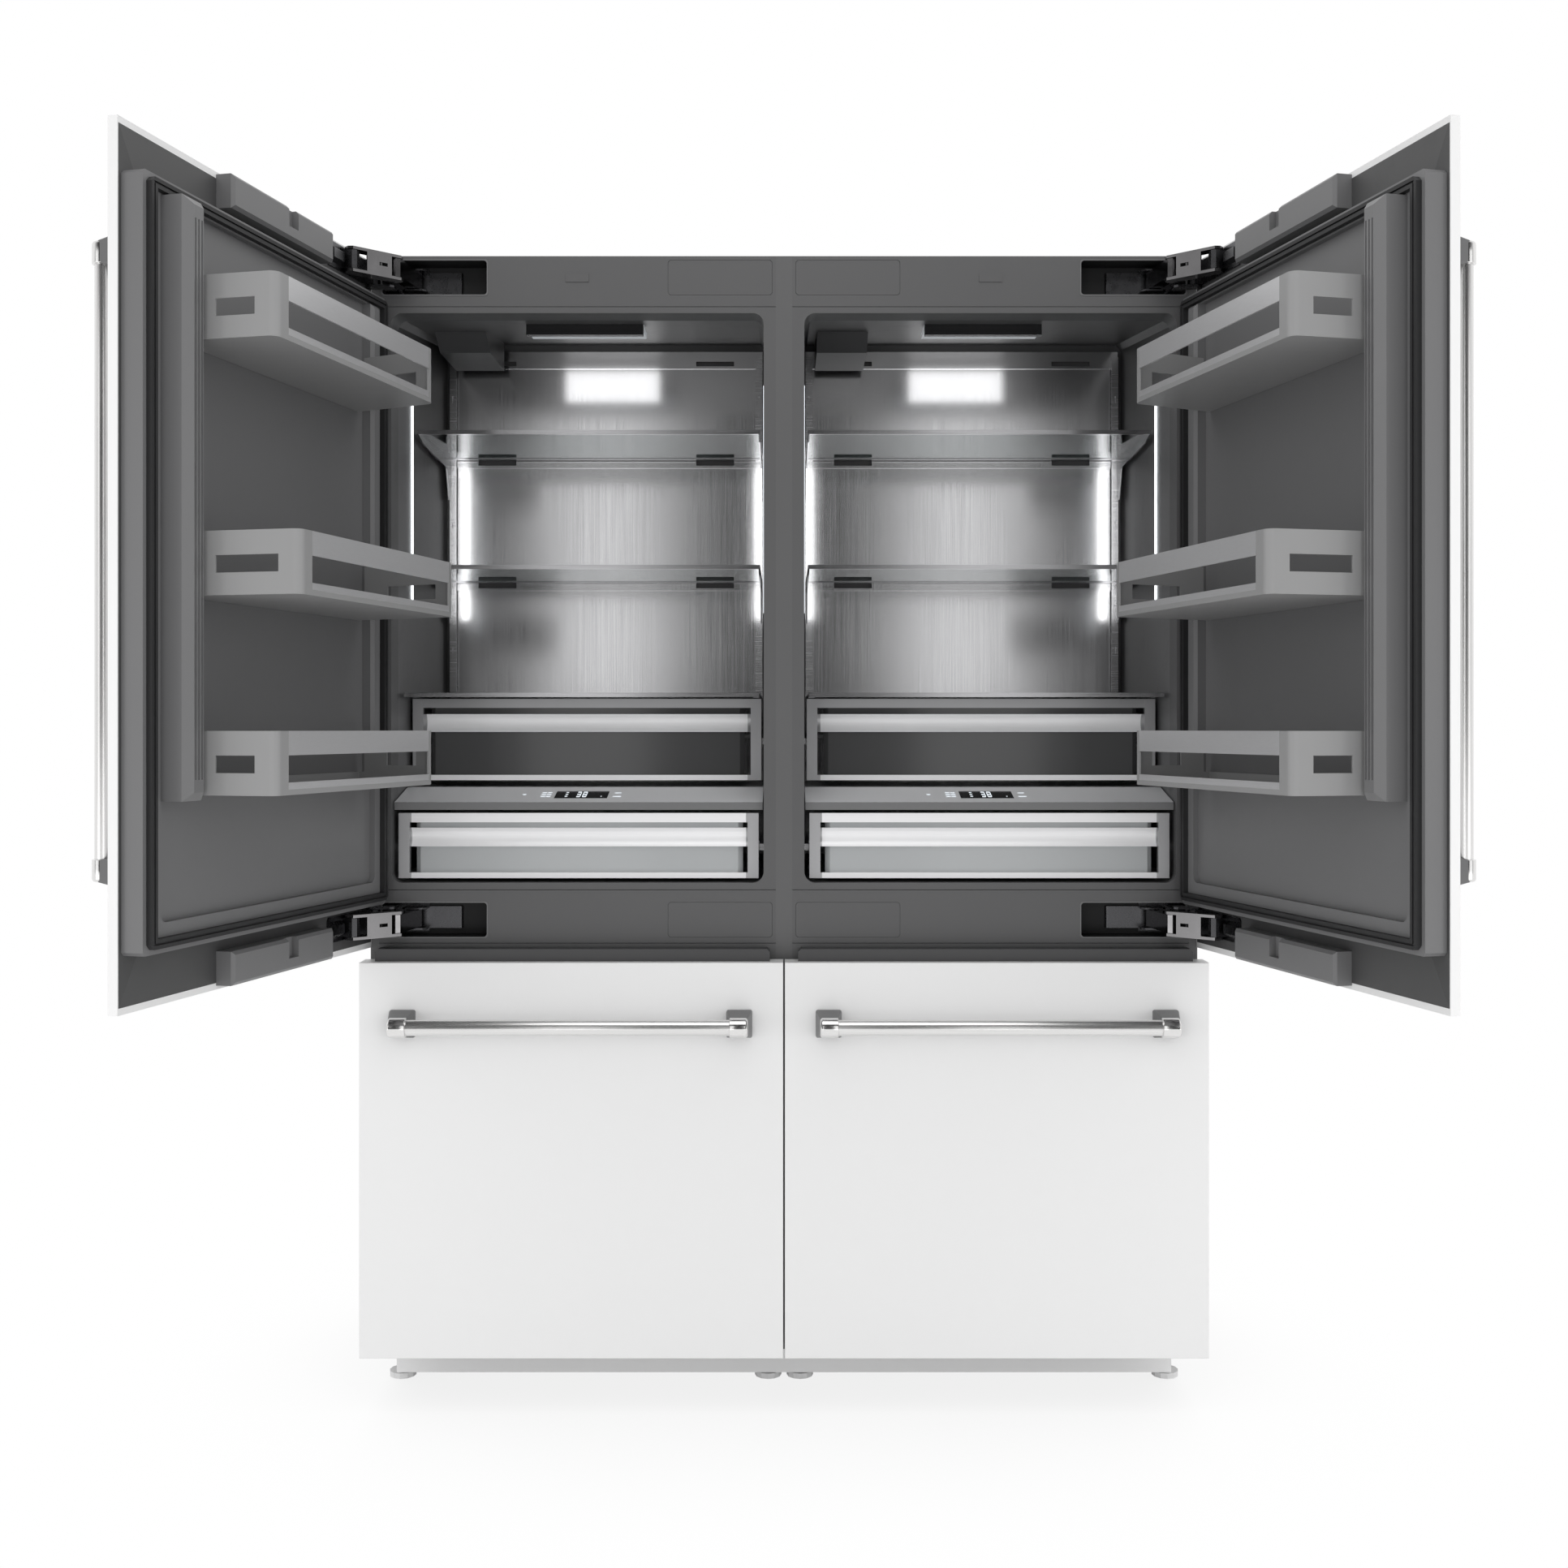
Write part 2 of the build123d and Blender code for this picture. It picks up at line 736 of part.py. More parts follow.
def display_window(proud):
    """Glass window of the display, let into the slanted front."""
    run, rise = fascia_y1 - fascia_y0, fascia_z1 - fascia_z0 - fascia_lip
    tilt = math.degrees(math.atan2(rise, run))
    middle = Pos(mid_x, (fascia_y0 + fascia_y1) / 2, fascia_z1 - rise / 2)
    return middle * Rot(tilt, 0, 0) * Pos(0, 0, proud - display_t / 2) * Box(display_w, display_d, display_t)


def ceiling_at(y):
    """Height of the sloping ceiling at a depth."""
    return fridge_z1 + ceiling_rise * (y - frame_d) / (cavity_back - frame_d)


def lamps():
    """Light strips in both side walls and the lamp behind the ceiling strip."""
    strips = []
    for side in (-1, 1):
        face = mid_x + side * wall_x
        edges = sorted((face, face - side * led_t))
        strips.append(block(*edges, led_y, led_y + led_w, cover_level + led_low_up, fridge_z1 - led_top))
    roof = ceiling_at(lamp_y)
    strips.append(block(mid_x - lamp_w / 2, mid_x + lamp_w / 2, lamp_y, lamp_y + lamp_d, roof - lamp_t, roof))
    return group(*strips)


def ceiling_strip():
    """Plain dark strip in front of the ceiling lamp."""
    roof = ceiling_at(strip_y)
    return block(mid_x - lamp_w / 2, mid_x + lamp_w / 2, strip_y, strip_y + strip_d, roof - strip_h, roof)


def filter_housing():
    """Air filter box under the ceiling, its front sloping down."""
    y0, y1, low = filter_y, cavity_back - filter_back, ceiling_at(filter_y) - filter_drop
    points = [(y0, ceiling_at(y0)), (y1, ceiling_at(y1)), (y1, low), (y0 + filter_slope, low)]
    x0 = mid_x - wall_x + filter_in
    return side_profile(points, x0, x0 + filter_w)


def rear_cover():
    """Vented cover of the machine compartment."""
    x1 = -rear_in
    body = block(-column_w - x1, x1, case_d - skin, case_d, base_h + rear_in, machine_top - rear_top)
    for side in (-1, 1):
        x = mid_x + side * (vent_slot_w + vent_gap) / 2
        for row in range(vent_rows):
            z = base_h + vent_low + row * vent_pitch
            body -= block(x - vent_slot_w / 2, x + vent_slot_w / 2, case_d - 2 * skin, case_d + 1, z,
                          z + vent_slot_h)
    return body


def compressor():
    """Welded compressor can on its foot plate, with two pipe stubs."""
    z0 = base_h + skin
    x, y, half, deep = mid_x - compressor_in, case_d - machine_d / 2, stand_w / 2, stand_d / 2
    can = Pos(x, y, z0 + compressor_lift + compressor_h / 2) * Cylinder(compressor_r, compressor_h)
    can = chamfer(can.edges().filter_by(GeomType.CIRCLE).sort_by(Axis.Z)[-1], compressor_edge)
    low = z0 + stand_lift
    body = can + block(x - half, x + half, y - deep, y + deep, low, low + stand_t)
    for dx in (bush_in - half, half - bush_in):
        for dy in (bush_in - deep, deep - bush_in):
            body += Pos(x + dx, y + dy, z0) * extrude(RegularPolygon(bush_r, 6), stand_lift)
    return body + upright(stub_r, (x, y), z0 + compressor_h, z0 + compressor_h + stub_l)


# ---- base ------------------------------------------------------------------------------------

def base_frame():
    """Plinth under both columns: channels facing inwards, and a middle rail."""
    x1, y0, y1 = column_w - plinth_in, plinth_front, case_d
    z0, z1, t, w = foot_h + leg_l, base_h, plinth_t, plinth_rail
    body = block(-x1, x1, y0, y1, z0, z1) - block(-x1 + w, x1 - w, y0 + w, y1 - w, z0 - 1, z1 + 1)
    body += block(-w, w, y0 + w / 2, y1 - w / 2, z0, z1)
    body -= block(-x1 + t, -t, y0 + t, y1 - t, z0 + t, z1 - t)
    return body - block(t, x1 - t, y0 + t, y1 - t, z0 + t, z1 - t)


def foot(x, y):
    """Levelling foot: pad and the hexagonal leg that is turned with a spanner."""
    leg = Pos(x, y, foot_h) * extrude(RegularPolygon(post_hex_r, 6), leg_l)
    return Pos(x, y) * extrude(RegularPolygon(foot_r, 12), foot_h) + leg


def feet():
    """Four feet under each column."""
    inset = plinth_in + plinth_rail / 2
    xs = (-column_w + inset, -inset, inset, column_w - inset)
    ys = (plinth_front + plinth_rail / 2, case_d - plinth_rail / 2)
    return group(*[foot(x, y) for x in xs for y in ys])


def toe_grille():
    """Toe grille clipped to the front of the plinth, with two rows of slots."""
    x1 = column_w - grille_in
    y1 = plinth_front
    body = block(-x1, x1, y1 - grille_t, y1, foot_h + grille_low, base_h - grille_top)
    pitch = 2 * x1 / grille_slots
    half = pitch * grille_open / 2
    for n in range(grille_slots):
        x = -x1 + (n + 0.5) * pitch
        for drop in grille_rows:
            z = base_h - drop
            body -= block(x - half, x + half, y1 - grille_t - 1, y1 + 1, z, z + grille_slot_h)
    return body


# ---- door ------------------------------------------------------------------------------------

def door_panel():
    """Overlay panel of a door."""
    body = block(panel_x0, panel_x1, door_front, panel_back, door_z0, door_z1)
    return chamfer(body.faces().sort_by(Axis.Y)[0].edges(), panel_edge)


def door_body():
    """Foamed inner door with a recessed liner, and on it a tall ribbed column, a low one and hinge covers."""
    slab = chamfered_block(body_x0, body_x1, panel_back, body_back, body_z0, body_z1, body_edge, Axis.Y)
    x0, x1 = body_x0 + recess_in, body_x1 - recess_in
    z0, z1 = body_z0 + recess_in, body_z1 - recess_top
    slab -= soft_block(x0, x1, body_back - recess_d, 0, z0, z1, recess_r, Axis.Y)
    tall = block(x1 - dyke_w, x1, body_back - recess_d, body_back + dyke_h, dyke_z0, z1)
    tall = chamfer(tall.faces().sort_by(Axis.Y)[-1].edges(), dyke_end)
    top = body_back + dyke_h
    for n in (-1, 0, 1):
        x = x1 - dyke_w / 2 + n * rib_pitch
        tall -= block(x - rib_w / 2, x + rib_w / 2, top - rib_d, top + 1, dyke_z0 + rib_in, z1 - rib_in)
    low = block(x0, x0 + dyke_low_w, body_back - recess_d, body_back + dyke_low_h, dyke_z0, z1)
    low = chamfer(low.faces().sort_by(Axis.Y)[-1].edges(), dyke_low_h / 2)
    covers = [hinge_cover(upper_hinge_z - hinge_cover_low), hinge_cover(lower_hinge_z - hinge_cover_drop)]
    return group(slab, tall, low, *covers)


def hinge_cover(z):
    """Box on the back of the panel beside the hinge, with a slot in its edge."""
    x0, y1, half = panel_x0 + hinge_cover_in, panel_back + hinge_cover_t, hinge_cover_h / 2
    body = block(x0, x0 + hinge_cover_w, panel_back, y1, z - half, z + half)
    body = chamfer(body.faces().sort_by(Axis.Y)[-1].edges(), hinge_cover_edge)
    x0 += cover_slot_at
    return body - block(x0, x0 + cover_slot_w, y1 - cover_slot_d, y1 + 1, z - cover_slot_low, z + half + 1)


def ring_seal(x0, x1, z0, z1):
    """Hollow-lipped seal round a door: a frame with a groove along its face."""
    y0, y1 = body_back, -gasket_clear
    w, a = gasket_w, (gasket_w - lip_w) / 2
    b = a + lip_w
    outer = chamfered_block(x0, x1, y0, y1, z0, z1, w / 2, Axis.Y)
    inner = block(x0 + w, x1 - w, y0 - 1, y1 + 1, z0 + w, z1 - w)
    groove = block(x0 + a, x1 - a, y1 - lip_d, y1 + 1, z0 + a, z1 - a)
    groove -= block(x0 + b, x1 - b, y1 - lip_d - 1, y1 + 2, z0 + b, z1 - b)
    return outer - inner - groove


def door_gasket():
    """Seal of a door."""
    g = gasket_in
    return ring_seal(body_x0 + g, body_x1 - g, body_z0 + g, body_z1 - g)


def bin_outline(reach, inset):
    """Plan of a door bin: square at the free side, slanted at the hinge side."""
    x1 = body_x1 - recess_in - dyke_w - seam - inset
    root = panel_x0 + bin_root_in + inset
    y0, y1 = body_back - recess_d + seam + inset, reach - inset
    points = [(x1, y0), (x1, y1), (root + bin_taper, y1), (root, y0)]
    face = make_face(Polyline(*points, close=True))
    return fillet(face.vertices().sort_by(Axis.Y)[-2:], bin_r - inset)


def bin_ring(floor, reach, z0, z1):
    """Part of a bin's upright wall between two heights over its floor."""
    wall = bin_outline(reach, 0) - bin_outline(reach, bin_wall)
    return Pos(0, 0, floor + z0) * extrude(wall, z1 - z0)


def bin_middle(floor, reach):
    """Stretch of the front wall between the two end caps, which is metal."""
    x1 = body_x1 - recess_in - dyke_w - seam
    root = panel_x0 + bin_root_in + bin_taper
    y0, y1 = reach - 2 * bin_wall, reach + 1
    return block(root + bin_cap / 2, x1 - bin_cap, y0, y1, floor - 1, floor + bin_h + 1)


def door_bin(floor, reach):
    """Moulded bin: flat floor, low rim and end caps with a window between two posts."""
    base = Pos(0, 0, floor) * extrude(bin_outline(reach, 0), bin_wall)
    rim = bin_ring(floor, reach, bin_wall, bin_tray_h)
    caps = bin_ring(floor, reach, bin_tray_h, bin_h)
    caps -= block(-column_w, 0, -column_w, body_back + bin_back_in, floor, floor + bin_h + 1)
    caps -= block(-column_w, 0, body_back + window_in, reach - window_out, floor + window_z,
                  floor + bin_h - bin_band_h)
    walls = rim + caps - bin_middle(floor, reach)
    front = bin_ring(floor, reach, 0, bin_rail_z) & bin_middle(floor, reach)
    return base + walls + front


def bin_rails(floor, reach):
    """Metal band along the top of a bin's front, and the thin rail under it."""
    middle = bin_middle(floor, reach)
    band = bin_ring(floor, reach, bin_h - bin_band_h, bin_h) & middle
    rail = bin_ring(floor, reach, bin_rail_z, bin_rail_z + bin_rail_h) & middle
    return group(band, rail)


def bin_sizes():
    """Floor height and reach of each bin: the middle one is deeper."""
    return ((low_bin, bin_reach), (mid_bin, bin_deep_reach), (top_bin, bin_reach))


# ---- handles ---------------------------------------------------------------------------------

def handle(length):
    """Round bar handle along x, centred, on two tapered posts that stand off towards -y from y = 0."""
    along = Pos(0, -bar_reach, 0) * Rot(0, 90, 0)
    pieces = [along * Cylinder(bar_r, length - post_w - sleeve_l)]
    for side in (-1, 1):
        middle = side * (length - post_w) / 2
        sleeve = Pos(middle, 0) * along * Cylinder(sleeve_r, sleeve_l)
        outer = sleeve.edges().filter_by(GeomType.CIRCLE).sort_by(Axis.X)[0 if side < 0 else -1]
        base = Plane.XZ * Pos(middle, 0) * Rectangle(post_w, post_h)
        neck = Plane.XZ.offset(bar_reach) * Pos(middle, 0) * Rectangle(sleeve_l, 2 * bar_r)
        pieces.append(loft([base, neck]) + chamfer(outer, sleeve_edge))
    return group(*pieces)


def door_handle():
    """Upright handle near the free edge of a door."""
    middle = (door_bar_z0 + door_bar_z1) / 2
    place = Pos(panel_x1 - door_bar_in, door_front, middle) * Rot(0, 90, 0)
    return place * handle(door_bar_z1 - door_bar_z0)


def drawer_handle():
    """Level handle near the top of a freezer drawer."""
    return Pos((panel_x0 + panel_x1) / 2, door_front, drawer_bar_z) * handle(drawer_bar_l)


# ---- freezer drawer --------------------------------------------------------------------------

def drawer_panel():
    """Overlay panel of a drawer, returned along its edges."""
    body = block(panel_x0, panel_x1, door_front, body_back - seam, drawer_z0, drawer_z1)
    body = chamfer(body.faces().sort_by(Axis.Y)[0].edges(), panel_edge)
    w = drawer_wrap
    return body - block(panel_x0 + w, panel_x1 - w, panel_back, 0, drawer_z0 + w, drawer_z1 - w)


def rail_x():
    """Inner and outer x of the moving rail at the left wall."""
    outer = mid_x - wall_x + runner_t + rail_gap
    return outer, outer + rail_t


def drawer_body():
    """Foamed inner front of a drawer, with the two steel rails that carry the basket."""
    w = drawer_wrap + seam
    x0, x1 = panel_x0 + w, panel_x1 - w
    body = block(x0, x1, panel_back, body_back, drawer_z0 + w, drawer_z1 - w)
    a, b = x0 + step_in, x1 - step_in
    body += chamfered_block(a, b, panel_back + step_t, body_back, drawer_z1 - step_h, drawer_body_z1, body_edge,
                            Axis.Y)
    body -= drawer_panel()
    a, b = rail_x()
    rail = block(a, b, body_back, rail_back, basket_z1, basket_z1 + rail_h)
    far = mirror(rail, about=Plane.YZ.offset(mid_x))
    return group(body, rail, far)


def drawer_gasket():
    """Seal of a drawer."""
    w = drawer_wrap + step_in + gasket_in
    return ring_seal(panel_x0 + w, panel_x1 - w, freezer_z0 - drawer_seal_low, drawer_body_z1 - drawer_seal_top)


def basket():
    """Deep basket hung between the rails from its side flanges."""
    half = basket_w / 2
    y0 = body_back
    y1 = y0 + basket_d
    body = tub(mid_x - half, mid_x + half, y0, y1, basket_z0, basket_z1, basket_t, basket_edge)
    a, b = rail_x()
    edge = mid_x - half + basket_t / 2
    near = block(a, edge, y0 + flange_in, y1 - flange_in, basket_z1 - flange_t, basket_z1)
    return body + near + mirror(near, about=Plane.YZ.offset(mid_x))


def tray():
    """Shallow tray that slides to and fro on the drawer's rails."""
    a, b = rail_x()
    half = mid_x - b - skid_side
    z0 = basket_z1 + rail_h + tray_lift
    y0, y1 = tray_front, tray_front + tray_d
    body = tub(mid_x - half, mid_x + half, y0, y1, z0 + tray_step, tray_z1, basket_t, tray_edge)
    near = block(a + seam, mid_x - half + basket_t / 2, y0 + skid_in, y1 - skid_in, z0, z0 + skid_h)
    return body + near + mirror(near, about=Plane.YZ.offset(mid_x))


def runners():
    """Fixed runners on the cavity walls for the drawer and both crispers."""
    face = mid_x - wall_x
    middle = basket_z1 + rail_h / 2
    first = frame_d + runner_in
    pieces = [block(face, face + runner_t, first, cavity_back - runner_end, middle - runner_h / 2,
                    middle + runner_h / 2)]
    for z, front in ((upper_rest, upper_front_y), (lower_rest, lower_front_y)):
        y0 = max(front + crisper_cap_d + rest_front, first)
        pieces.append(block(face, face + rest_w, y0, front + crisper_d + rest_more, z - rest_t, z))
    pieces += [mirror(piece, about=Plane.YZ.offset(mid_x)) for piece in pieces]
    return group(*pieces)


# ---- crispers --------------------------------------------------------------------------------


def crisper_tub(front, z0, z1, rest):
    """Clear tub with a strip along each side that slides on the wall's runner."""
    half = crisper_w / 2
    y0 = front + crisper_cap_d
    low = z0 + tub_low
    y1, rest = y0 + crisper_d, rest + slide_lift
    body = tub(mid_x - half, mid_x + half, y0, y1, low, z1 - top_band_h, crisper_t, tub_edge)
    edge = mid_x - half + crisper_t / 2
    slide = block(mid_x - wall_x + slide_side, edge, y0 + slide_front, y1 - slide_back, rest, rest + slide_t)
    return body + slide + mirror(slide, about=Plane.YZ.offset(mid_x))


def pull_bar(front, top, x0, x1):
    """Hollow-faced pull: a bar whose front is scooped out."""
    low = top - pull_h
    scoop = ThreePointArc((front, top), (front + pull_d * scoop_d, top - pull_h * scoop_at), (front, low))
    back = Polyline((front, low), (front + pull_d, low), (front + pull_d, top), (front, top))
    face = make_face(Plane.YZ * (scoop + back))
    return Pos(x0, 0, 0) * extrude(face, x1 - x0, dir=(1, 0, 0))


def crisper_front(front, width, z0, z1, pull_top):
    """Metal front of a crisper: end caps, top band, scooped pull and bottom trim."""
    x0, x1 = mid_x - width / 2, mid_x + width / 2
    y1 = front + crisper_cap_d
    body = block(x0, x0 + crisper_cap, front, y1, z0, z1) + block(x1 - crisper_cap, x1, front, y1, z0, z1)
    body += block(x0, x1, front + band_back, y1, z1 - top_band_h, z1)
    body += block(x0, x1, front + trim_back, y1, z0, z0 + trim_h)
    pull = pull_bar(front + trim_back, pull_top, x0 + crisper_cap, x1 - crisper_cap)
    pull -= block(x0, x1, y1, y1 + pull_d, z0, z1)
    return body + pull


# ---- assembly --------------------------------------------------------------------------------

def both_sides(pieces):
    """Left pieces, and their mirror images named for the right."""
    nodes = {}
    for name, piece in pieces.items():
        nodes[name + "_left"] = piece
        nodes[name + "_right"] = mirrored(piece)
    return nodes


def cabinet_nodes():
    """Everything that stays still."""
    nodes = both_sides({"case": case(), "foam": foam(), "front_frame": front_frame()})
    inside = {
        "cavity_liners": group(*[space(liner_t) - space(0) for space in (fridge_space, freezer_space)]),
        "steel_back_walls": back_wall(),
        "shelf_tracks": group(shelf_track(-1), shelf_track(1)),
        "glass_shelves": group(shelf_pane(mid_shelf, shelf_front), shelf_pane(top_shelf, shelf_front),
                               shelf_pane(cover_level, cover_front)),
        "shelf_trims": group(shelf_metal(mid_shelf, shelf_front), shelf_metal(top_shelf, shelf_front),
                             cover_metal()),
        "control_fascias": fascia(),
        "display_windows": group(display_window(display_proud), ceiling_strip()),
        "lamps": lamps(),
        "filter_housings": filter_housing(),
        "drawer_runners": runners(),
        "rear_covers": rear_cover(),
        "compressors": compressor(),
    }
    for name, piece in inside.items():
        nodes[name] = group(piece, copied(piece))
    brackets = group(pocket_bracket(upper_hinge_z), pocket_bracket(lower_hinge_z))
    nodes["hinge_brackets"] = group(brackets, mirrored(brackets))
    nodes["base_frame"] = base_frame()
    nodes["levelling_feet"] = feet()
    nodes["toe_grille"] = toe_grille()
    return nodes


def door_nodes():
    """Both doors, standing open, and the hinge arms and links that follow them."""
    shut = {
        "door_panel": door_panel(),
        "door_body": door_body(),
        "door_gasket": door_gasket(),
        "door_bins": group(*[door_bin(*size) for size in bin_sizes()]),
        "bin_rails": group(*[bin_rails(*size) for size in bin_sizes()]),
        "door_handle": door_handle(),
        "hinge_leaf": group(door_leaf(upper_hinge_z), door_leaf(lower_hinge_z)),
    }
    pieces = {name: left_open * piece for name, piece in shut.items()}
    pieces["hinge_arm"] = group(swing_arm(upper_hinge_z), swing_arm(lower_hinge_z))
    pieces["hinge_link"] = group(link(upper_hinge_z), link(lower_hinge_z))
    return both_sides(pieces)


def drawer_nodes():
    """Freezer drawers and crispers, shut."""
    return both_sides({
        "drawer_panel": drawer_panel(),
        "drawer_body": drawer_body(),
        "drawer_gasket": drawer_gasket(),
        "drawer_handle": drawer_handle(),
        "freezer_basket": basket(),
        "freezer_tray": tray(),
        "upper_crisper": crisper_tub(upper_front_y, upper_z0, upper_z1, upper_rest),
        "upper_crisper_front": crisper_front(upper_front_y, upper_front_w, upper_z0, upper_z1,
                                             upper_z1 - upper_pull_drop),
        "lower_crisper": crisper_tub(lower_front_y, lower_z0, lower_z1, lower_rest),
        "lower_crisper_front": crisper_front(lower_front_y, lower_front_w, lower_z0, lower_z1,
                                             lower_z1 - lower_pull_drop),
    })


nodes = {**cabinet_nodes(), **door_nodes(), **drawer_nodes()}
boxes = [piece.bounding_box() for piece in nodes.values()]
middle_y = (min(box.min.Y for box in boxes) + max(box.max.Y for box in boxes)) / 2
os.makedirs("parts", exist_ok=True)
for name, piece in nodes.items():
    export_step(Pos(0, -middle_y, 0) * piece, f"parts/{name}.step")

print("nodes", len(nodes))
print("shift back to the frame's origin: y", round(-middle_y, 4))
print("left hinge pins:", [tuple(round(v, 4) for v in p) for p in (hinge_pin, pivot_1, pivot_2, pivot_3)])
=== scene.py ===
import json
import math

import bmesh
import bpy
import numpy as np
from bpy.props import FloatProperty, FloatVectorProperty, IntProperty, PointerProperty
from bpy.types import Operator, Panel, PropertyGroup
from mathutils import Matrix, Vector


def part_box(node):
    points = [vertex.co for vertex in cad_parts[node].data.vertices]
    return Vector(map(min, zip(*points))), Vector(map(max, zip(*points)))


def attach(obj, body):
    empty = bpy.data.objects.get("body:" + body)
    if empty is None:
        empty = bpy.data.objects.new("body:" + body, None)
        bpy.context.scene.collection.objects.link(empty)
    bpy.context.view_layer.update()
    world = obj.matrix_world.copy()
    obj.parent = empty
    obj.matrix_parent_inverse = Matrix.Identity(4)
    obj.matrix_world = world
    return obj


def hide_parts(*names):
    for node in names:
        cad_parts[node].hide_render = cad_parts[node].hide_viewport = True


bl_info = {
    "name": "Refrigerator columns",
    "version": (1, 0, 0),
    "blender": (4, 5, 0),
    "location": "3D View > Sidebar > Columns",
    "description": "Finishes, small fittings and a studio for a pair of built-in refrigerator columns",
    "category": "Object",
}

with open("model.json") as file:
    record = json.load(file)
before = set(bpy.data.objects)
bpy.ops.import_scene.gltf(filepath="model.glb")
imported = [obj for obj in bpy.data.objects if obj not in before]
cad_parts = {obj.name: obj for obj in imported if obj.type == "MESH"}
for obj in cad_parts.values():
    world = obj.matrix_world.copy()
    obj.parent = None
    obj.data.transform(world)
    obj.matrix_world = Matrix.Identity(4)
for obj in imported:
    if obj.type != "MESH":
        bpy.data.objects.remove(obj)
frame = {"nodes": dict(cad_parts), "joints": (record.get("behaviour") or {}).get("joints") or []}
NODES = frame["nodes"]
JOINTS = {joint["name"]: joint for joint in frame["joints"]}
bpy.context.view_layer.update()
SIDES = {"left": 1, "right": -1}


# ---- sizes and colours that a user would change ------------------------------------------------

def length(name, description, default):
    """A length in metres with its default."""
    return FloatProperty(name=name, description=description, default=default, unit="LENGTH", precision=4)


def amount(name, description, default):
    """A plain number with its default."""
    return FloatProperty(name=name, description=description, default=default)


def tint(name, description, default):
    """A colour with its default."""
    return FloatVectorProperty(name=name, description=description, default=default, subtype="COLOR", size=3,
                               min=0, max=1)


class FinishSettings(PropertyGroup):
    """Colours of the painted, moulded and metal pieces."""
    panel_white: tint("Panel white", "Lacquer of the door and drawer panels", (0.855, 0.855, 0.855))
    panel_back: tint("Panel backing", "Foil on the back of the panels", (0.058, 0.058, 0.059))
    cabinet_grey: tint("Cabinet grey", "Paint of the folded steel cabinet", (0.12, 0.12, 0.122))
    frame_grey: tint("Frame grey", "Moulded front frame", (0.108, 0.108, 0.110))
    door_grey: tint("Door grey", "Moulded inner doors", (0.165, 0.165, 0.168))
    drawer_grey: tint("Drawer grey", "Moulded inner fronts of the freezer drawers", (0.058, 0.058, 0.06))
    bin_grey: tint("Bin grey", "Moulded door bins", (0.30, 0.30, 0.302))
    liner_grey: tint("Liner grey", "Walls of the cavities", (0.10, 0.10, 0.103))
    fascia_grey: tint("Fascia grey", "Control fascias", (0.84, 0.845, 0.86))
    steel: tint("Steel", "Stainless steel trims and walls", (0.62, 0.62, 0.63))
    front_steel: tint("Front steel", "Bright fronts of the crispers", (0.95, 0.95, 0.96))
    shelf_steel: tint("Shelf steel", "Shelf trims and their arms", (0.46, 0.46, 0.47))
    post_grey: tint("Post grey", "Posts of the handles", (0.135, 0.135, 0.137))
    handle_steel: tint("Handle steel", "Brushed handle bars", (0.76, 0.755, 0.75))
    hinge_steel: tint("Hinge steel", "Plated hinge arms and links", (0.27, 0.265, 0.27))
    seal_black: tint("Seal black", "Door gaskets", (0.018, 0.018, 0.019))
    smoke_tint: tint("Smoked plastic", "Smoke tint of the upper crisper tubs", (0.10, 0.10, 0.102))
    clear_tint: tint("Clear plastic", "Tint of the lower crisper tubs", (0.62, 0.64, 0.65))
    lamp_white: tint("Lamp white", "Light of the interior lamps", (0.93, 0.97, 1.0))
    freezer_grey: tint("Freezer grey", "Basket and tray in the freezer", (0.42, 0.42, 0.43))


class StudioSettings(PropertyGroup):
    """Camera, lamps and floor."""
    camera_height: length("Camera height", "Height of the lens above the floor", 1.222)
    camera_distance: length("Camera distance", "From the lens to the front of the case", 3.075)
    lens: amount("Lens", "Focal length in millimetres", 38.85)
    frame_rise: amount("Frame rise", "Vertical shift of the picture", -0.0352)
    floor_radius: length("Floor radius", "Half width of the floor", 9.0)
    room_level: amount("Room level", "Strength of the even light of the room", 0.90)
    front_level: amount("Front level", "What metal sees of the room on the camera's side", 0.045)
    strip_glow: amount("Strip glow", "Radiance of the tall front softboxes", 1.35)
    wash_glow: amount("Wash glow", "Radiance of the softboxes at the sides", 1.0)
    top_glow: amount("Top glow", "Radiance of the card overhead", 1.5)
    lamp_strength: amount("Interior lamps", "Emission of the lamps in the cavities", 2.6)
    wall_glow: amount("Wall glow", "Radiance of the narrow cards before the steel walls", 4.0)
    duct_glow: amount("Duct glow", "Radiance of the wide cards before the tops of the steel walls", 1.6)


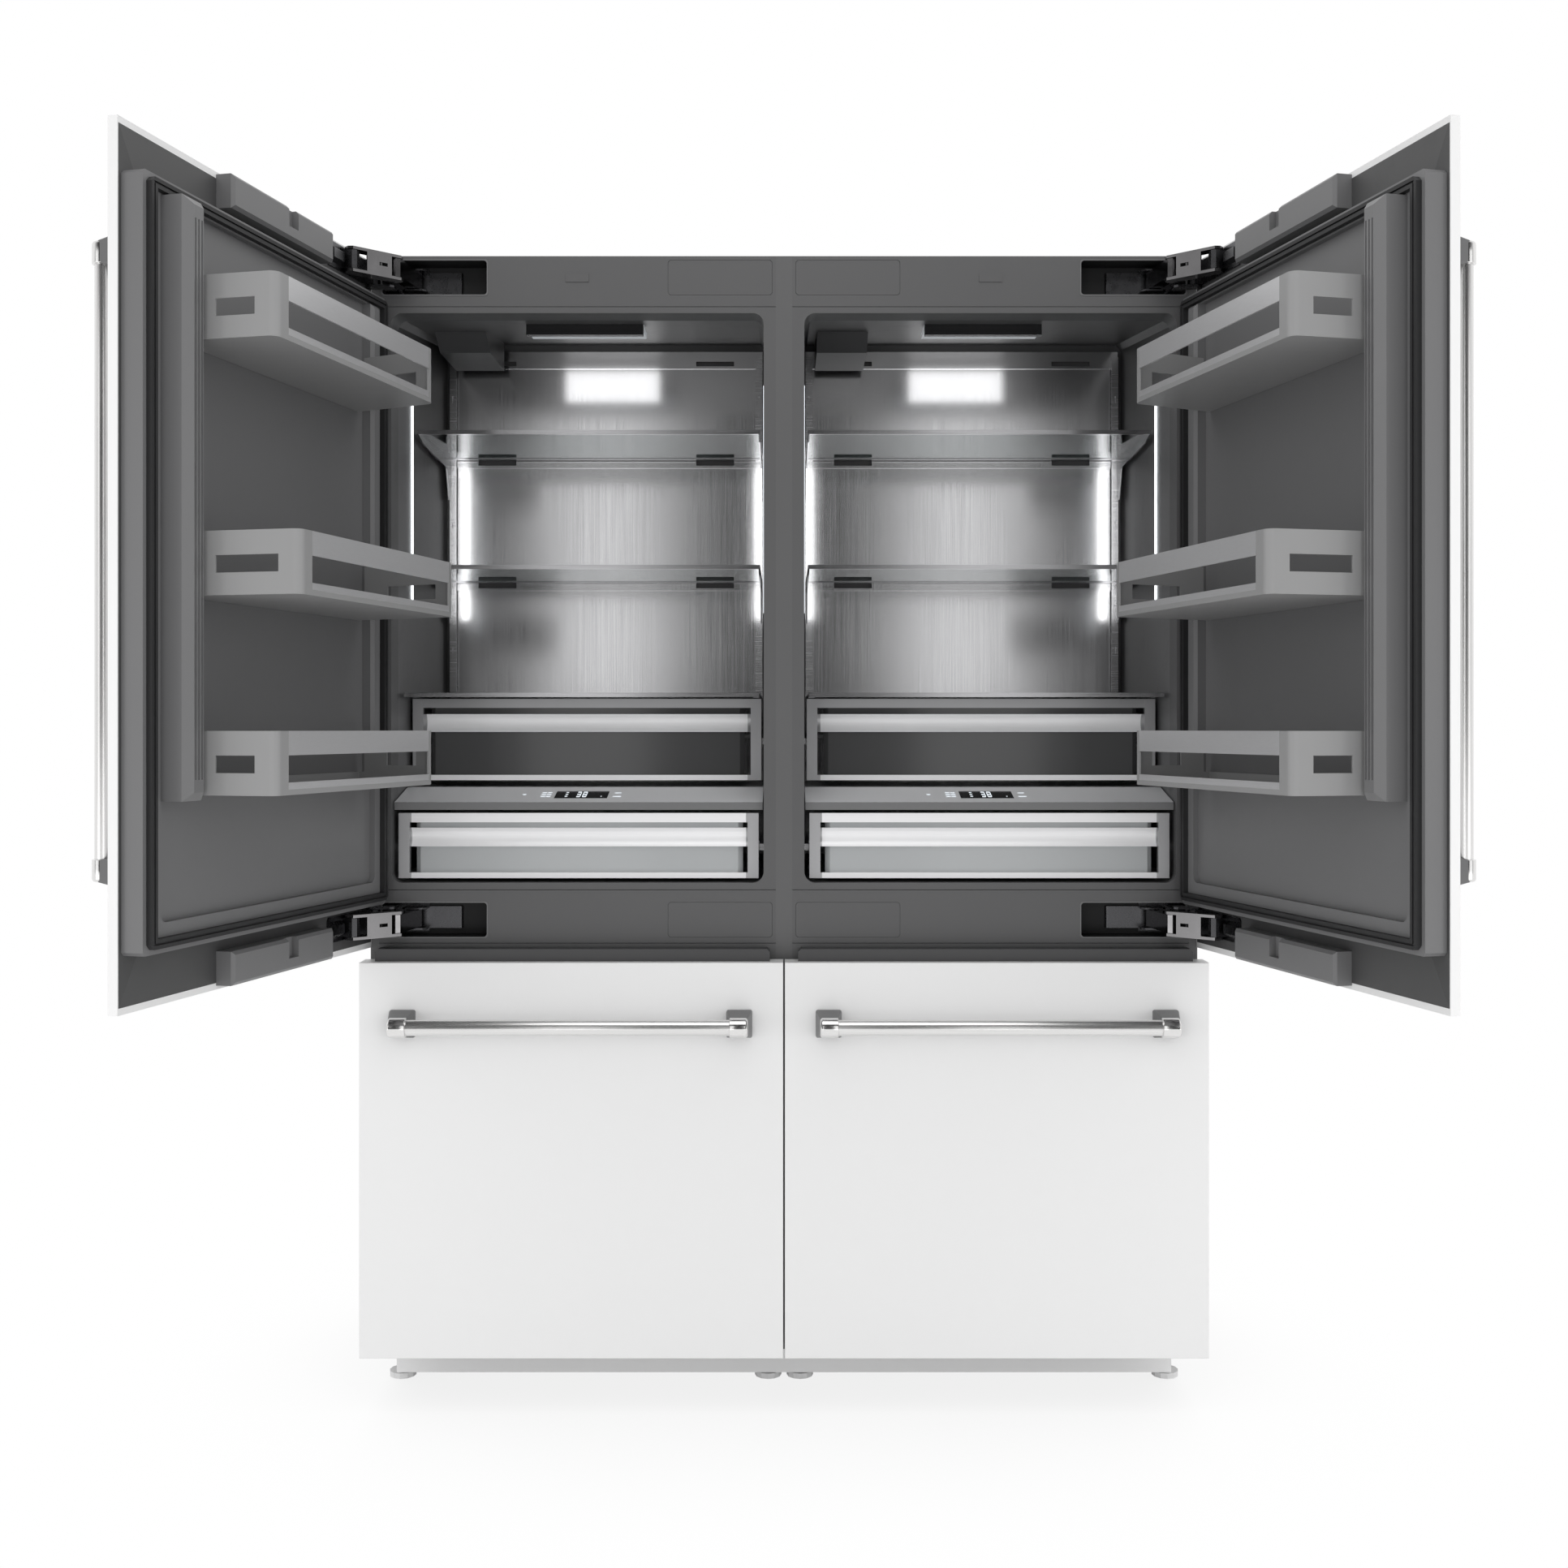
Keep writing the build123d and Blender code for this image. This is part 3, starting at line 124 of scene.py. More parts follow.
class FittingSettings(PropertyGroup):
    """Sizes of the small fittings."""
    open_angle: amount("Door angle", "How far the doors stand open in degrees", 103.0)
    pin_to_corner: FloatVectorProperty(name="Pin to corner", default=(-0.019, -0.014), size=2, subtype="XYZ",
                                       description="Shut door's hinge corner from its hinge pin")
    backing_in: length("Backing inset", "From the panel's ends to its backing", 0.010)
    backing_side: length("Backing side inset", "From the panel's long edges to its backing", 0.002)
    backing_t: length("Backing thickness", "Foil on the back of the panels", 0.0006)
    bar_r: length("Bar radius", "Handle bars", 0.014)
    sleeve_r: length("Sleeve radius", "Sleeves at the ends of the handle bars", 0.0175)
    sleeve_l: length("Sleeve length", "Sleeves at the ends of the handle bars", 0.032)
    post_w: length("Post width", "Foot of a handle post along the bar", 0.046)
    post_h: length("Post height", "Foot of a handle post across the bar", 0.049)
    neck_in: length("Neck inset", "How much less a post's neck measures across than the sleeve on it", 0.002)
    bar_reach: length("Bar reach", "From the panel to the middle of the bar", 0.045)
    door_bar_in: length("Door bar inset", "From a door's free edge to its handle", 0.060)
    panel_t: length("Panel thickness", "Door and drawer panels", 0.016)
    digit_w: length("Digit width", "Numbers on the display", 0.0065)
    digit_h: length("Digit height", "Numbers on the display, up its slope", 0.032)
    digit_side: length("Digit place", "From the middle of the display to the middle of a number", 0.0055)
    digit_stroke: length("Digit stroke", "Width of the bars of a number", 0.0014)
    mark_t: length("Mark thickness", "Numbers and dashes of the display", 0.0003)
    mark_lift: length("Mark lift", "From the display's slope to the marks", 0.0006)
    display_front: length("Display front", "From the fascia's front to the middle of the display", 0.055)
    display_drop: length("Display drop", "From the fascia's top to the middle of the display", 0.012)
    display_slope: FloatProperty(name="Display slope", description="Slope of the control fascia",
                                 default=math.radians(12.31), subtype="ANGLE")
    # Below this height the fascia's front lip is darkened: painted shade.
    fascia_shade_lip: length("Fascia lip", "Height of the fascia's duller front lip", 0.0138)
    leaf_reach: length("Leaf reach", "From the middle of a hinge to the ends of its leaf", 0.022)
    pocket_in: length("Pocket inset", "From the case's side to a hinge pocket", 0.021)
    pocket_w: length("Pocket width", "Hinge pockets", 0.190)
    pocket_h: length("Pocket height", "Hinge pockets", 0.062)
    pocket_d: length("Pocket depth", "Hinge pockets", 0.050)
    pocket_r: length("Pocket corner", "Corner radius of a pocket's rim", 0.006)
    # The black sheets inside the hinge pockets stand for the shade in the pockets: painted shade.
    shade_lining_t: length("Lining thickness", "Black linings of the hinge pockets", 0.0003)
    shade_lining_r: length("Lining corner", "Corner radius of a lining", 0.0042)
    shade_lining_in: length("Lining inset", "From the front of the case in to the lip of a lining", 0.0015)
    shade_lining_gap: length("Lining gap", "Between a lining and its pocket", 0.0001)
    # The pocket rims are paler than the frame: painted highlight on the pockets' edges.
    rim_in: length("Pocket rim inset", "From the front of the case in to the back of a pocket's rim", 0.0002)
    rim_w: length("Pocket rim width", "Thin rim round a hinge pocket", 0.0022)
    rim_t: length("Pocket rim thickness", "Thin rim round a hinge pocket", 0.0012)
    round_steps: IntProperty(name="Round steps", description="Steps round a turned piece", default=48,
                             min=12, max=128)


# ---- surfaces ----------------------------------------------------------------------------------

def sheet_faces(rows, columns, close_rows=False, close_columns=False):
    """Quads of a grid of points: each joins a point, the next in its row and the two in the row after."""
    i = np.arange(rows if close_rows else rows - 1)
    j = np.arange(columns if close_columns else columns - 1)
    i, j = np.meshgrid(i, j, indexing="ij")
    a = i * columns + j
    b = i * columns + (j + 1) % columns
    c = ((i + 1) % rows) * columns + (j + 1) % columns
    d = ((i + 1) % rows) * columns + j
    return np.stack([a, b, c, d], axis=-1).reshape(-1, 4)


def turned(profile, at, axis, steps):
    """Profile of (radius, height) points turned once round an axis through a point: each point goes round as
    radius times (cosine, sine) of the turn, and rises by its height along the axis."""
    profile = np.asarray(profile, float)
    axis = np.asarray(axis, float) / np.linalg.norm(axis)
    side = np.cross(axis, (0.0, 0.0, 1.0) if abs(axis[2]) < 0.9 else (1.0, 0.0, 0.0))
    side /= np.linalg.norm(side)
    other = np.cross(axis, side)
    turn = np.linspace(0, 2 * np.pi, steps, endpoint=False)
    ring = np.cos(turn)[:, None] * side + np.sin(turn)[:, None] * other
    points = np.asarray(at) + profile[:, 0, None, None] * ring + profile[:, 1, None, None] * axis
    return points.reshape(-1, 3), sheet_faces(len(profile), steps, close_columns=True)


def rounded_outline(width, height, radius, steps=6):
    """Rectangle with rounded corners, once round: each corner is a quarter circle about its own centre."""
    turn = np.linspace(0, np.pi / 2, steps)
    quarter = np.arange(4)[:, None] * np.pi / 2 + turn
    cx = (width / 2 - radius) * np.array([1, -1, -1, 1])[:, None]
    cy = (height / 2 - radius) * np.array([1, 1, -1, -1])[:, None]
    return np.stack([cx + radius * np.cos(quarter), cy + radius * np.sin(quarter)], axis=-1).reshape(-1, 2)


def slab(at, u, v, width, height, thick, radius, edge):
    """Plate with rounded corners and rounded edges. Its rings are the outline drawn in by an edge profile, a
    quarter circle at the back and at the front, and the rings at both ends close to the middle. It lies in
    the plane of u and v, its back on the point given, and rises along their cross product."""
    u, v = np.asarray(u, float), np.asarray(v, float)
    w = np.cross(u, v)
    turn = np.linspace(0, np.pi / 2, 4)
    inset = np.concatenate([edge * (1 - np.sin(turn)), edge * (1 - np.cos(turn))])
    rise = np.concatenate([edge * (1 - np.cos(turn)), thick - edge + edge * np.sin(turn)])
    outline = rounded_outline(width, height, radius)
    shrink = 1 - 2 * inset[:, None, None] / np.array([width, height])
    flat = outline[None] * shrink
    flat = np.concatenate([flat[:1] * 0, flat, flat[-1:] * 0])
    rise = np.concatenate([rise[:1], rise, rise[-1:]])
    points = np.asarray(at) + flat[..., :1] * u + flat[..., 1:] * v + rise[:, None, None] * w
    return points.reshape(-1, 3), sheet_faces(len(rise), len(outline), close_columns=True)


def lofted(sections, at, axes):
    """Skin over closed sections of (u, v, w) points, with both ends drawn to their middles and closed."""
    sections = np.asarray(sections, float)
    first = np.broadcast_to(sections[0].mean(0), sections[:1].shape)
    last = np.broadcast_to(sections[-1].mean(0), sections[:1].shape)
    sections = np.concatenate([first, sections, last])
    points = np.asarray(at) + sections @ np.asarray(axes, float)
    return points.reshape(-1, 3), sheet_faces(len(sections), sections.shape[1], close_columns=True)


BAR_END = 0.07         # rounding of a bar's end, over the bar's radius
SLEEVE_END = 0.28      # rounding of a sleeve's outer end, over the sleeve's radius
POST_CORNER = 0.16     # rounding of a post's corners, over half its width
POST_STEPS = 9


def barrel(radius, reach, inner, outer, steps=5):
    """Closed profile of (radius, height) points from one end of a barrel to the other, with a quarter circle
    at each rim: the radius less inner times (1 - sine) at the first end, and less outer times (1 - cosine) at
    the last."""
    turn = np.linspace(0, np.pi / 2, steps)
    low = np.stack([radius - inner * (1 - np.sin(turn)), -reach + inner * (1 - np.cos(turn))], axis=-1)
    high = np.stack([radius - outer * (1 - np.cos(turn)), reach - outer * (1 - np.sin(turn))], axis=-1)
    return np.concatenate([[(0.0, -reach)], low, high, [(0.0, reach)]])


def handle_parts(at, along, out, span):
    """A bar, two sleeves and two posts about the middle of the bar's axis. The bar and the sleeves are turned
    barrels. Each post is a skin over rounded rectangles that shrink from the foot to the neck in even steps,
    after a short upright foot."""
    sizes = settings().fittings
    along, out = np.asarray(along), np.asarray(out)
    across = np.cross(along, out)
    half = (span - sizes.post_w) / 2
    end = sizes.bar_r * BAR_END
    bar = turned(barrel(sizes.bar_r, half, end, end), at, along, sizes.round_steps)
    profile = barrel(sizes.sleeve_r, sizes.sleeve_l / 2, end, sizes.sleeve_r * SLEEVE_END)
    way = np.linspace(0, 1, POST_STEPS)
    ease = np.clip((way - way[1]) / (way[-1] - way[1]), 0, 1)
    widths = sizes.post_w + (sizes.sleeve_l - sizes.post_w) * ease
    heights = sizes.post_h + (2 * sizes.sleeve_r - sizes.neck_in - sizes.post_h) * ease
    corner = rounded_outline(2.0, 2.0, POST_CORNER, 5)
    flat = corner[None] * np.stack([widths, heights], axis=-1)[:, None] / 2
    rise = np.broadcast_to(way[:, None, None] * sizes.bar_reach, (POST_STEPS, len(corner), 1))
    sections = np.concatenate([flat, rise], axis=-1)
    sleeves, posts = [], []
    for sign in (-1, 1):
        middle = np.asarray(at) + sign * half * along
        sleeves.append(turned(profile, middle, sign * along, sizes.round_steps))
        posts.append(lofted(sections, middle - out * sizes.bar_reach, (along, across, out)))
    return bar, sleeves, posts


def rim(at, u, v, width, height, radius, wide, thick):
    """Flat ring with rounded corners: the outline and the same outline drawn in, at its back and front."""
    u, v = np.asarray(u, float), np.asarray(v, float)
    outline = rounded_outline(width, height, radius)
    shrink = 1 - 2 * wide / np.array([width, height])
    rings = np.stack([outline, outline, outline * shrink, outline * shrink])
    rise = np.array([0.0, thick, thick, 0.0])[:, None, None]
    points = np.asarray(at) + rings[..., :1] * u + rings[..., 1:] * v + rise * np.cross(u, v)
    return points.reshape(-1, 3), sheet_faces(4, len(outline), close_rows=True, close_columns=True)


def cup(at, u, v, width, height, radius, deep, wall):
    """Thin-walled tray with rounded corners: from the middle of its outer floor out and up its outer side,
    over the lip, down its inner side and in to the middle of its inner floor. It opens along the cross
    product of u and v, its lip at the point given."""
    u, v = np.asarray(u, float), np.asarray(v, float)
    outer = rounded_outline(width, height, radius)
    inner = outer * (1 - 2 * wall / np.array([width, height]))
    rings = np.stack([outer * 0, outer, outer, inner, inner, inner * 0])
    rise = np.array([-deep, -deep, 0.0, 0.0, wall - deep, wall - deep])[:, None, None]
    points = np.asarray(at) + rings[..., :1] * u + rings[..., 1:] * v + rise * np.cross(u, v)
    return points.reshape(-1, 3), sheet_faces(len(rings), len(outer), close_columns=True)


# The bars of a number: those that are lit, and each one's place in half widths and half heights, and whether
# it lies level.
SEGMENTS = {3: "abcdg", 8: "abcdefg"}
STROKES = {"a": (0.0, 1.0, True), "g": (0.0, 0.0, True), "d": (0.0, -1.0, True), "b": (1.0, 0.5, False),
           "c": (1.0, -0.5, False), "f": (-1.0, 0.5, False), "e": (-1.0, -0.5, False)}
MARK_ROUND = 0.3       # rounding of a mark: its corners over its narrow side, its edges over its thickness


def digit(number, at, u, v, width, height, stroke, thick):
    """One number of a display, from up to seven bars round and across two squares."""
    bars = []
    for name in SEGMENTS[number]:
        x, y, level = STROKES[name]
        size = (width, stroke * height / width) if level else (stroke, height / 2)
        middle = np.asarray(at) + x * width / 2 * np.asarray(u) + y * height / 2 * np.asarray(v)
        bars.append(slab(middle, u, v, *size, thick, stroke * MARK_ROUND, thick * MARK_ROUND))
    return bars


def dashes(at, u, v, thick, marks):
    """Thin plates on a display, from (across, up the slope, width, height) of each about the point given."""
    return [slab(at + x * u + y * v, u, v, width, height, thick, min(width, height) * MARK_ROUND,
                 thick * MARK_ROUND) for x, y, width, height in marks]


def mirrored(parts):
    """The same surfaces on the other side of the joint between the columns, their faces turned round."""
    return [(points * (-1, 1, 1), faces[:, ::-1]) for points, faces in parts]


def piece(name, parts, material, body, smooth=35.0, weld=1e-6):
    """Joins surfaces into one mesh, merges the points that meet, and gives it its finish and its body."""
    offsets = np.cumsum([0] + [len(points) for points, _ in parts[:-1]])
    points = np.concatenate([points for points, _ in parts])
    faces = np.concatenate([faces + offset for (_, faces), offset in zip(parts, offsets)])
    mesh = bpy.data.meshes.new(name)
    mesh.from_pydata(points.tolist(), [], faces.tolist())
    work = bmesh.new()
    work.from_mesh(mesh)
    bmesh.ops.remove_doubles(work, verts=work.verts, dist=weld)
    bmesh.ops.recalc_face_normals(work, faces=work.faces)
    work.to_mesh(mesh)
    work.free()
    mesh.polygons.foreach_set("use_smooth", np.ones(len(mesh.polygons), bool))
    mesh.set_sharp_from_angle(angle=math.radians(smooth))
    mesh.materials.append(material)
    thing = bpy.data.objects.new(name, mesh)
    bpy.context.scene.collection.objects.link(thing)
    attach(thing, body)
    return thing


def pair(name, parts, material, body):
    """One piece on the left and its mirror image on the right, each on its own body."""
    made = []
    for side, sign in SIDES.items():
        shapes = parts if sign > 0 else mirrored(parts)
        made.append(piece(f"{name}_{side}", shapes, material, body.format(side=side)))
    return made


# ---- places in the frame -----------------------------------------------------------------------

def case_corner():
    """Left front lower corner of the left column's case."""
    return np.array(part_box("case_left")[0])


def panel_width():
    """Width of a door's or a drawer's panel."""
    low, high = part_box("drawer_panel_left")
    return high[0] - low[0]


def column_span():
    """Middle and half width of the inside of the left column."""
    low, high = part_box("lower_crisper_left")
    return (low[0] + high[0]) / 2, (high[0] - low[0]) / 2


def door_axes():
    """Directions along and into the open left door, from its hinge edge and from its back."""
    turn = math.radians(-settings().fittings.open_angle)
    along = np.array([math.cos(turn), math.sin(turn), 0.0])
    return along, np.array([-math.sin(turn), math.cos(turn), 0.0])


def door_point(u, v, z):
    """Point on the open left door: u from the hinge edge, v in from the panel's back, z from the floor."""
    along, inward = door_axes()
    dx, dy = settings().fittings.pin_to_corner
    pin = JOINTS["door_swing_left"]["pos_m"]
    return np.array([pin[0], pin[1], z]) + (dx + u) * along + (dy + v) * inward


def settings():
    """This add-on's settings on the scene."""
    return bpy.context.scene.fridge_columns


# ---- finishes ----------------------------------------------------------------------------------

GRAIN_SHEEN = 0.08         # how far the grain of paint moves its roughness
SCRATCH_SHEEN = 0.25       # how far the scratches of brushed metal move its roughness
BUMP_REACH = 0.0002        # height of the grain and the scratches
CEILING_LEVEL = 1.91       # from here up a diffuser is a dim one in the ceiling
CEILING_GLOW = (0.06, 0.063, 0.066)
CRISPER_TOP_SHADE = 0.028       # band along the top of an upper crisper's front, painted darker: painted shade
CRISPER_END_SHADE = 0.026      # bands at the ends of the crispers' fronts, painted darker: painted shade
FRONT_METAL = 0.12         # how metallic the bright steel of those fronts is
SHADE_BAND_METAL = 0.57        # how metallic those painted-shade bands are
LIP_PAINTED_SHADE = 0.20            # how dark the painted shade on the fascia's front lip is, against its slope
RIM_HIGHLIGHT_TONE = 1.5             # how pale the painted highlight on a pocket's rim is, against the frame


def feed(tree, node, inputs):
    """Sets or links a node's inputs."""
    for name, value in inputs.items():
        if isinstance(value, bpy.types.NodeSocket):
            tree.links.new(value, node.inputs[name])
        else:
            node.inputs[name].default_value = value


def put(tree, kind, inputs=None, **options):
    """Adds a shader node, sets its options, and sets or links its inputs."""
    node = tree.nodes.new("ShaderNode" + kind)
    for name, value in options.items():
        setattr(node, name, value)
    feed(tree, node, inputs or {})
    return node


SOCKETS = {1: "NodeSocketFloat", 3: "NodeSocketVector", 4: "NodeSocketColor"}


def new_group(name, inputs):
    """Empty group with named inputs, each of the kind of its default, and the three outputs of a finish.
    Gives its tree, its input node and its output node."""
    tree = bpy.data.node_groups.new(name, "ShaderNodeTree")
    for label, default in inputs.items():
        socket = tree.interface.new_socket(label, in_out="INPUT", socket_type=SOCKETS[np.size(default)])
        socket.default_value = default
    for label, width in (("Colour", 4), ("Roughness", 1), ("Height", 1)):
        tree.interface.new_socket(label, in_out="OUTPUT", socket_type=SOCKETS[width])
    return tree, tree.nodes.new("NodeGroupInput"), tree.nodes.new("NodeGroupOutput")


def mix_colour(tree, factor, a, b):
    """Mixes two colours and gives the result's socket."""
    return put(tree, "Mix", {0: factor, 6: a, 7: b}, data_type="RGBA").outputs[2]


def maths(tree, operation, *values):
    """Result of a Math node over its values in their order."""
    return put(tree, "Math", dict(enumerate(values)), operation=operation).outputs[0]


def product(tree, a, b):
    """Two colours or vectors multiplied, each part by its own."""
    return put(tree, "VectorMath", {0: a, 1: b}, operation="MULTIPLY").outputs[0]


def ramp(tree, value, low, high, start=0.0, end=1.0, **options):
    """A number that goes from start to end as the value goes from low to high, and stays there."""
    ends = {"Value": value, "From Min": low, "From Max": high, "To Min": start, "To Max": end}
    return put(tree, "MapRange", ends, **options).outputs[0]


def beyond(tree, value, level, blur, start=0.0):
    """Mask of where the value is above a level: from start to 1 over a narrow band about it."""
    return ramp(tree, value, level - blur, level + blur, start)


def object_place(tree):
    """Object coordinates, which are the frame's own on every piece."""
    return put(tree, "TexCoord").outputs["Object"]


def object_axes(tree):
    """Object coordinates as X, Y and Z."""
    return put(tree, "SeparateXYZ", {"Vector": object_place(tree)}).outputs


def either(tree, a, b):
    """The larger of two masks."""
    return maths(tree, "MAXIMUM", a, b)


def satin_group():
    """Paint or moulded plastic: a soft drift in tone, a fine grain in the surface, and sheen that follows
    both."""
    tree, entry, exit_node = new_group("Satin surface", {
        "Colour": (0.5, 0.5, 0.5, 1), "Drift": 0.1, "Roughness": 0.4, "Grain size": 900.0, "Marks": 0.1})
    place = object_place(tree)
    drift = put(tree, "TexNoise", {"Vector": place, "Scale": 2.3, "Detail": 3.0, "Roughness": 0.55})
    size = entry.outputs["Grain size"]
    grain = put(tree, "TexNoise", {"Vector": place, "Scale": size, "Detail": 2.0}).outputs["Fac"]
    marks = put(tree, "TexNoise", {"Vector": place, "Scale": 14.0, "Detail": 5.0, "Roughness": 0.7})
    spot = ramp(tree, marks.outputs["Fac"], 0.55, 0.75)
    shift = maths(tree, "SUBTRACT", drift.outputs["Fac"], 0.5)
    tone = maths(tree, "MULTIPLY_ADD", shift, entry.outputs["Drift"], 1.0)
    fine = maths(tree, "MULTIPLY_ADD", grain, GRAIN_SHEEN, -GRAIN_SHEEN / 2)
    rough = maths(tree, "ADD", entry.outputs["Roughness"], fine)
    worn = maths(tree, "MULTIPLY_ADD", spot, entry.outputs["Marks"], rough)
    feed(tree, exit_node, {"Colour": product(tree, entry.outputs["Colour"], tone), "Roughness": worn,
                           "Height": grain})
    return tree


def brushed_group():
    """Brushed metal: long fine scratches, coarse across the brushing and stretched along it, in tone and
    sheen."""
    tree, entry, exit_node = new_group("Brushed metal", {
        "Colour": (0.6, 0.6, 0.6, 1), "Stretch": (4.0, 900.0, 900.0), "Roughness": 0.28, "Contrast": 0.2})
    long = product(tree, object_place(tree), entry.outputs["Stretch"])
    scratch = put(tree, "TexNoise", {"Vector": long, "Scale": 1.0, "Detail": 4.0, "Roughness": 0.6})
    scratch = scratch.outputs["Fac"]
    shade = maths(tree, "SUBTRACT", scratch, 0.5)
    tone = maths(tree, "MULTIPLY_ADD", shade, entry.outputs["Contrast"], 1.0)
    rough = maths(tree, "MULTIPLY_ADD", shade, SCRATCH_SHEEN, entry.outputs["Roughness"])
    feed(tree, exit_node, {"Colour": product(tree, entry.outputs["Colour"], tone), "Roughness": rough,
                           "Height": scratch})
    return tree


def plain_material(name, **sockets):
    """Material with a Principled shader whose plain sockets are set."""
    material = bpy.data.materials.new(name)
    material.use_nodes = True
    shader = material.node_tree.nodes["Principled BSDF"]
    for label, value in sockets.items():
        shader.inputs[label.replace("_", " ")].default_value = value
    return material, material.node_tree, shader


def grained(name, group, inputs, bump, **sockets):
    """Material that takes its colour, roughness and bump from one of the shared groups."""
    material, tree, shader = plain_material(name, **sockets)
    node = put(tree, "Group", inputs, node_tree=group)
    relief = put(tree, "Bump", {"Height": node.outputs["Height"], "Strength": bump, "Distance": BUMP_REACH})
    feed(tree, shader, {"Base Color": node.outputs["Colour"], "Roughness": node.outputs["Roughness"],
                        "Normal": relief.outputs[0]})
    return material


def painted_shade_below(material, level, lower):
    """Darkens what lies below a level: painted shade on the front lip of a moulding, under its sloping top.
    """
    tree = material.node_tree
    base = tree.nodes["Principled BSDF"].inputs["Base Color"]
    source = base.links[0].from_socket
    above = beyond(tree, object_axes(tree)["Z"], level, 0.0004, lower)
    tree.links.new(product(tree, source, above), base)


def rgba(colour):
    """Colour with full alpha."""
    return (*colour, 1.0)


def make_finishes():
    """All materials, by a short name."""
    finish = settings().finishes
    satin, brushed = satin_group(), brushed_group()

    def paint(name, colour, roughness, size=900.0, drift=0.08, marks=0.06, bump=0.12, **sockets):
        values = {"Colour": rgba(colour), "Drift": drift, "Roughness": roughness, "Grain size": size,
                  "Marks": marks}
        return grained(name, satin, values, bump, **sockets)

    def metal(name, colour, stretch, roughness, contrast=0.25, bump=0.15, metallic=1.0, **sockets):
        values = {"Colour": rgba(colour), "Stretch": stretch, "Roughness": roughness, "Contrast": contrast}
        return grained(name, brushed, values, bump, Metallic=metallic, **sockets)

    made = {
        "panel": paint("White lacquer", finish.panel_white, 0.42, size=260.0, drift=0.02, marks=0.03,
                       bump=0.05),
        "backing": paint("Dark backing foil", finish.panel_back, 0.55, size=700.0),
        "case": paint("Cabinet paint", finish.cabinet_grey, 0.42, size=500.0),
        "frame": paint("Frame moulding", finish.frame_grey, 0.46, size=1400.0),
        "door": paint("Door moulding", finish.door_grey, 0.44, size=1400.0),
        "drawer_inner": paint("Drawer moulding", finish.drawer_grey, 0.44, size=1400.0),
        # Painted shade: near-black sheets inside the hinge pockets. Painted highlight: paler rims round them.
        "shade_lining": paint("Pocket lining", (0.010, 0.010, 0.011), 0.6, size=1400.0),
        "rim": paint("Rim moulding", [RIM_HIGHLIGHT_TONE * value for value in finish.frame_grey], 0.4, size=1400.0),
        "fascia": paint("Fascia moulding", finish.fascia_grey, 0.3, size=1500.0, drift=0.04, bump=0.05),
        "post": paint("Post casting", finish.post_grey, 0.36, size=1300.0, bump=0.2),
        "bin": paint("Bin moulding", finish.bin_grey, 0.42, size=1200.0),
        "liner": paint("Cavity liner", finish.liner_grey, 0.34, size=1100.0),
        "freezer": paint("Freezer moulding", finish.freezer_grey, 0.42, size=1100.0),
        "machine": paint("Black enamel", (0.012, 0.012, 0.013), 0.32, size=240.0, marks=0.2),
        "plinth": paint("Pale plinth paint", (0.94, 0.94, 0.94), 0.5, size=400.0),
        "rubber": paint("Pale foot rubber", (0.82, 0.82, 0.82), 0.7, size=500.0),
        "seal": paint("Soft seal", finish.seal_black, 0.6, size=700.0),
        "foam": paint("Rigid foam", (0.72, 0.63, 0.40), 0.85, size=160.0, drift=0.3, bump=0.6),
        "galvanised": metal("Galvanised sheet", (0.48, 0.49, 0.50), (60.0, 60.0, 60.0), 0.45, contrast=0.5),
        "wall_steel": metal("Brushed wall steel", finish.steel, (1500.0, 1500.0, 5.0), 0.20, contrast=0.07,
                            bump=0.012),
        "trim_steel": metal("Brushed trim steel", finish.steel, (5.0, 900.0, 900.0), 0.24, contrast=0.2),
        "rail_steel": metal("Brushed rail steel", finish.steel, (60.0, 60.0, 900.0), 0.34, contrast=0.15,
                            bump=0.05, metallic=0.5),
        "shelf_steel": metal("Brushed shelf steel", finish.shelf_steel, (5.0, 900.0, 900.0), 0.2,
                             contrast=0.15, bump=0.05),
        "sleeve": metal("Turned sleeve steel", finish.handle_steel, (200.0, 200.0, 200.0), 0.16, contrast=0.1,
                        bump=0.03),
        "handle_across": metal("Brushed bar, across", finish.handle_steel, (4.0, 1100.0, 1100.0), 0.27,
                               contrast=0.3),
        "handle_upright": metal("Brushed bar, upright", finish.handle_steel, (1100.0, 1100.0, 4.0), 0.27,
                                contrast=0.3),
        "hinge": metal("Plated hinge steel", finish.hinge_steel, (40.0, 40.0, 40.0), 0.14, contrast=0.15,
                       bump=0.05),
        "dark_metal": metal("Dark plated steel", (0.10, 0.10, 0.105), (60.0, 60.0, 60.0), 0.28, contrast=0.2),
    }
    made["crisper_steel"] = crisper_finish(brushed)
    made.update(glassy_finishes())
    made["lamp"] = lamp_finish()
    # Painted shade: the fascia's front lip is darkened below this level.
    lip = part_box("control_fascias")[0][2] + settings().fittings.fascia_shade_lip
    painted_shade_below(made["fascia"], lip, LIP_PAINTED_SHADE)
    return made


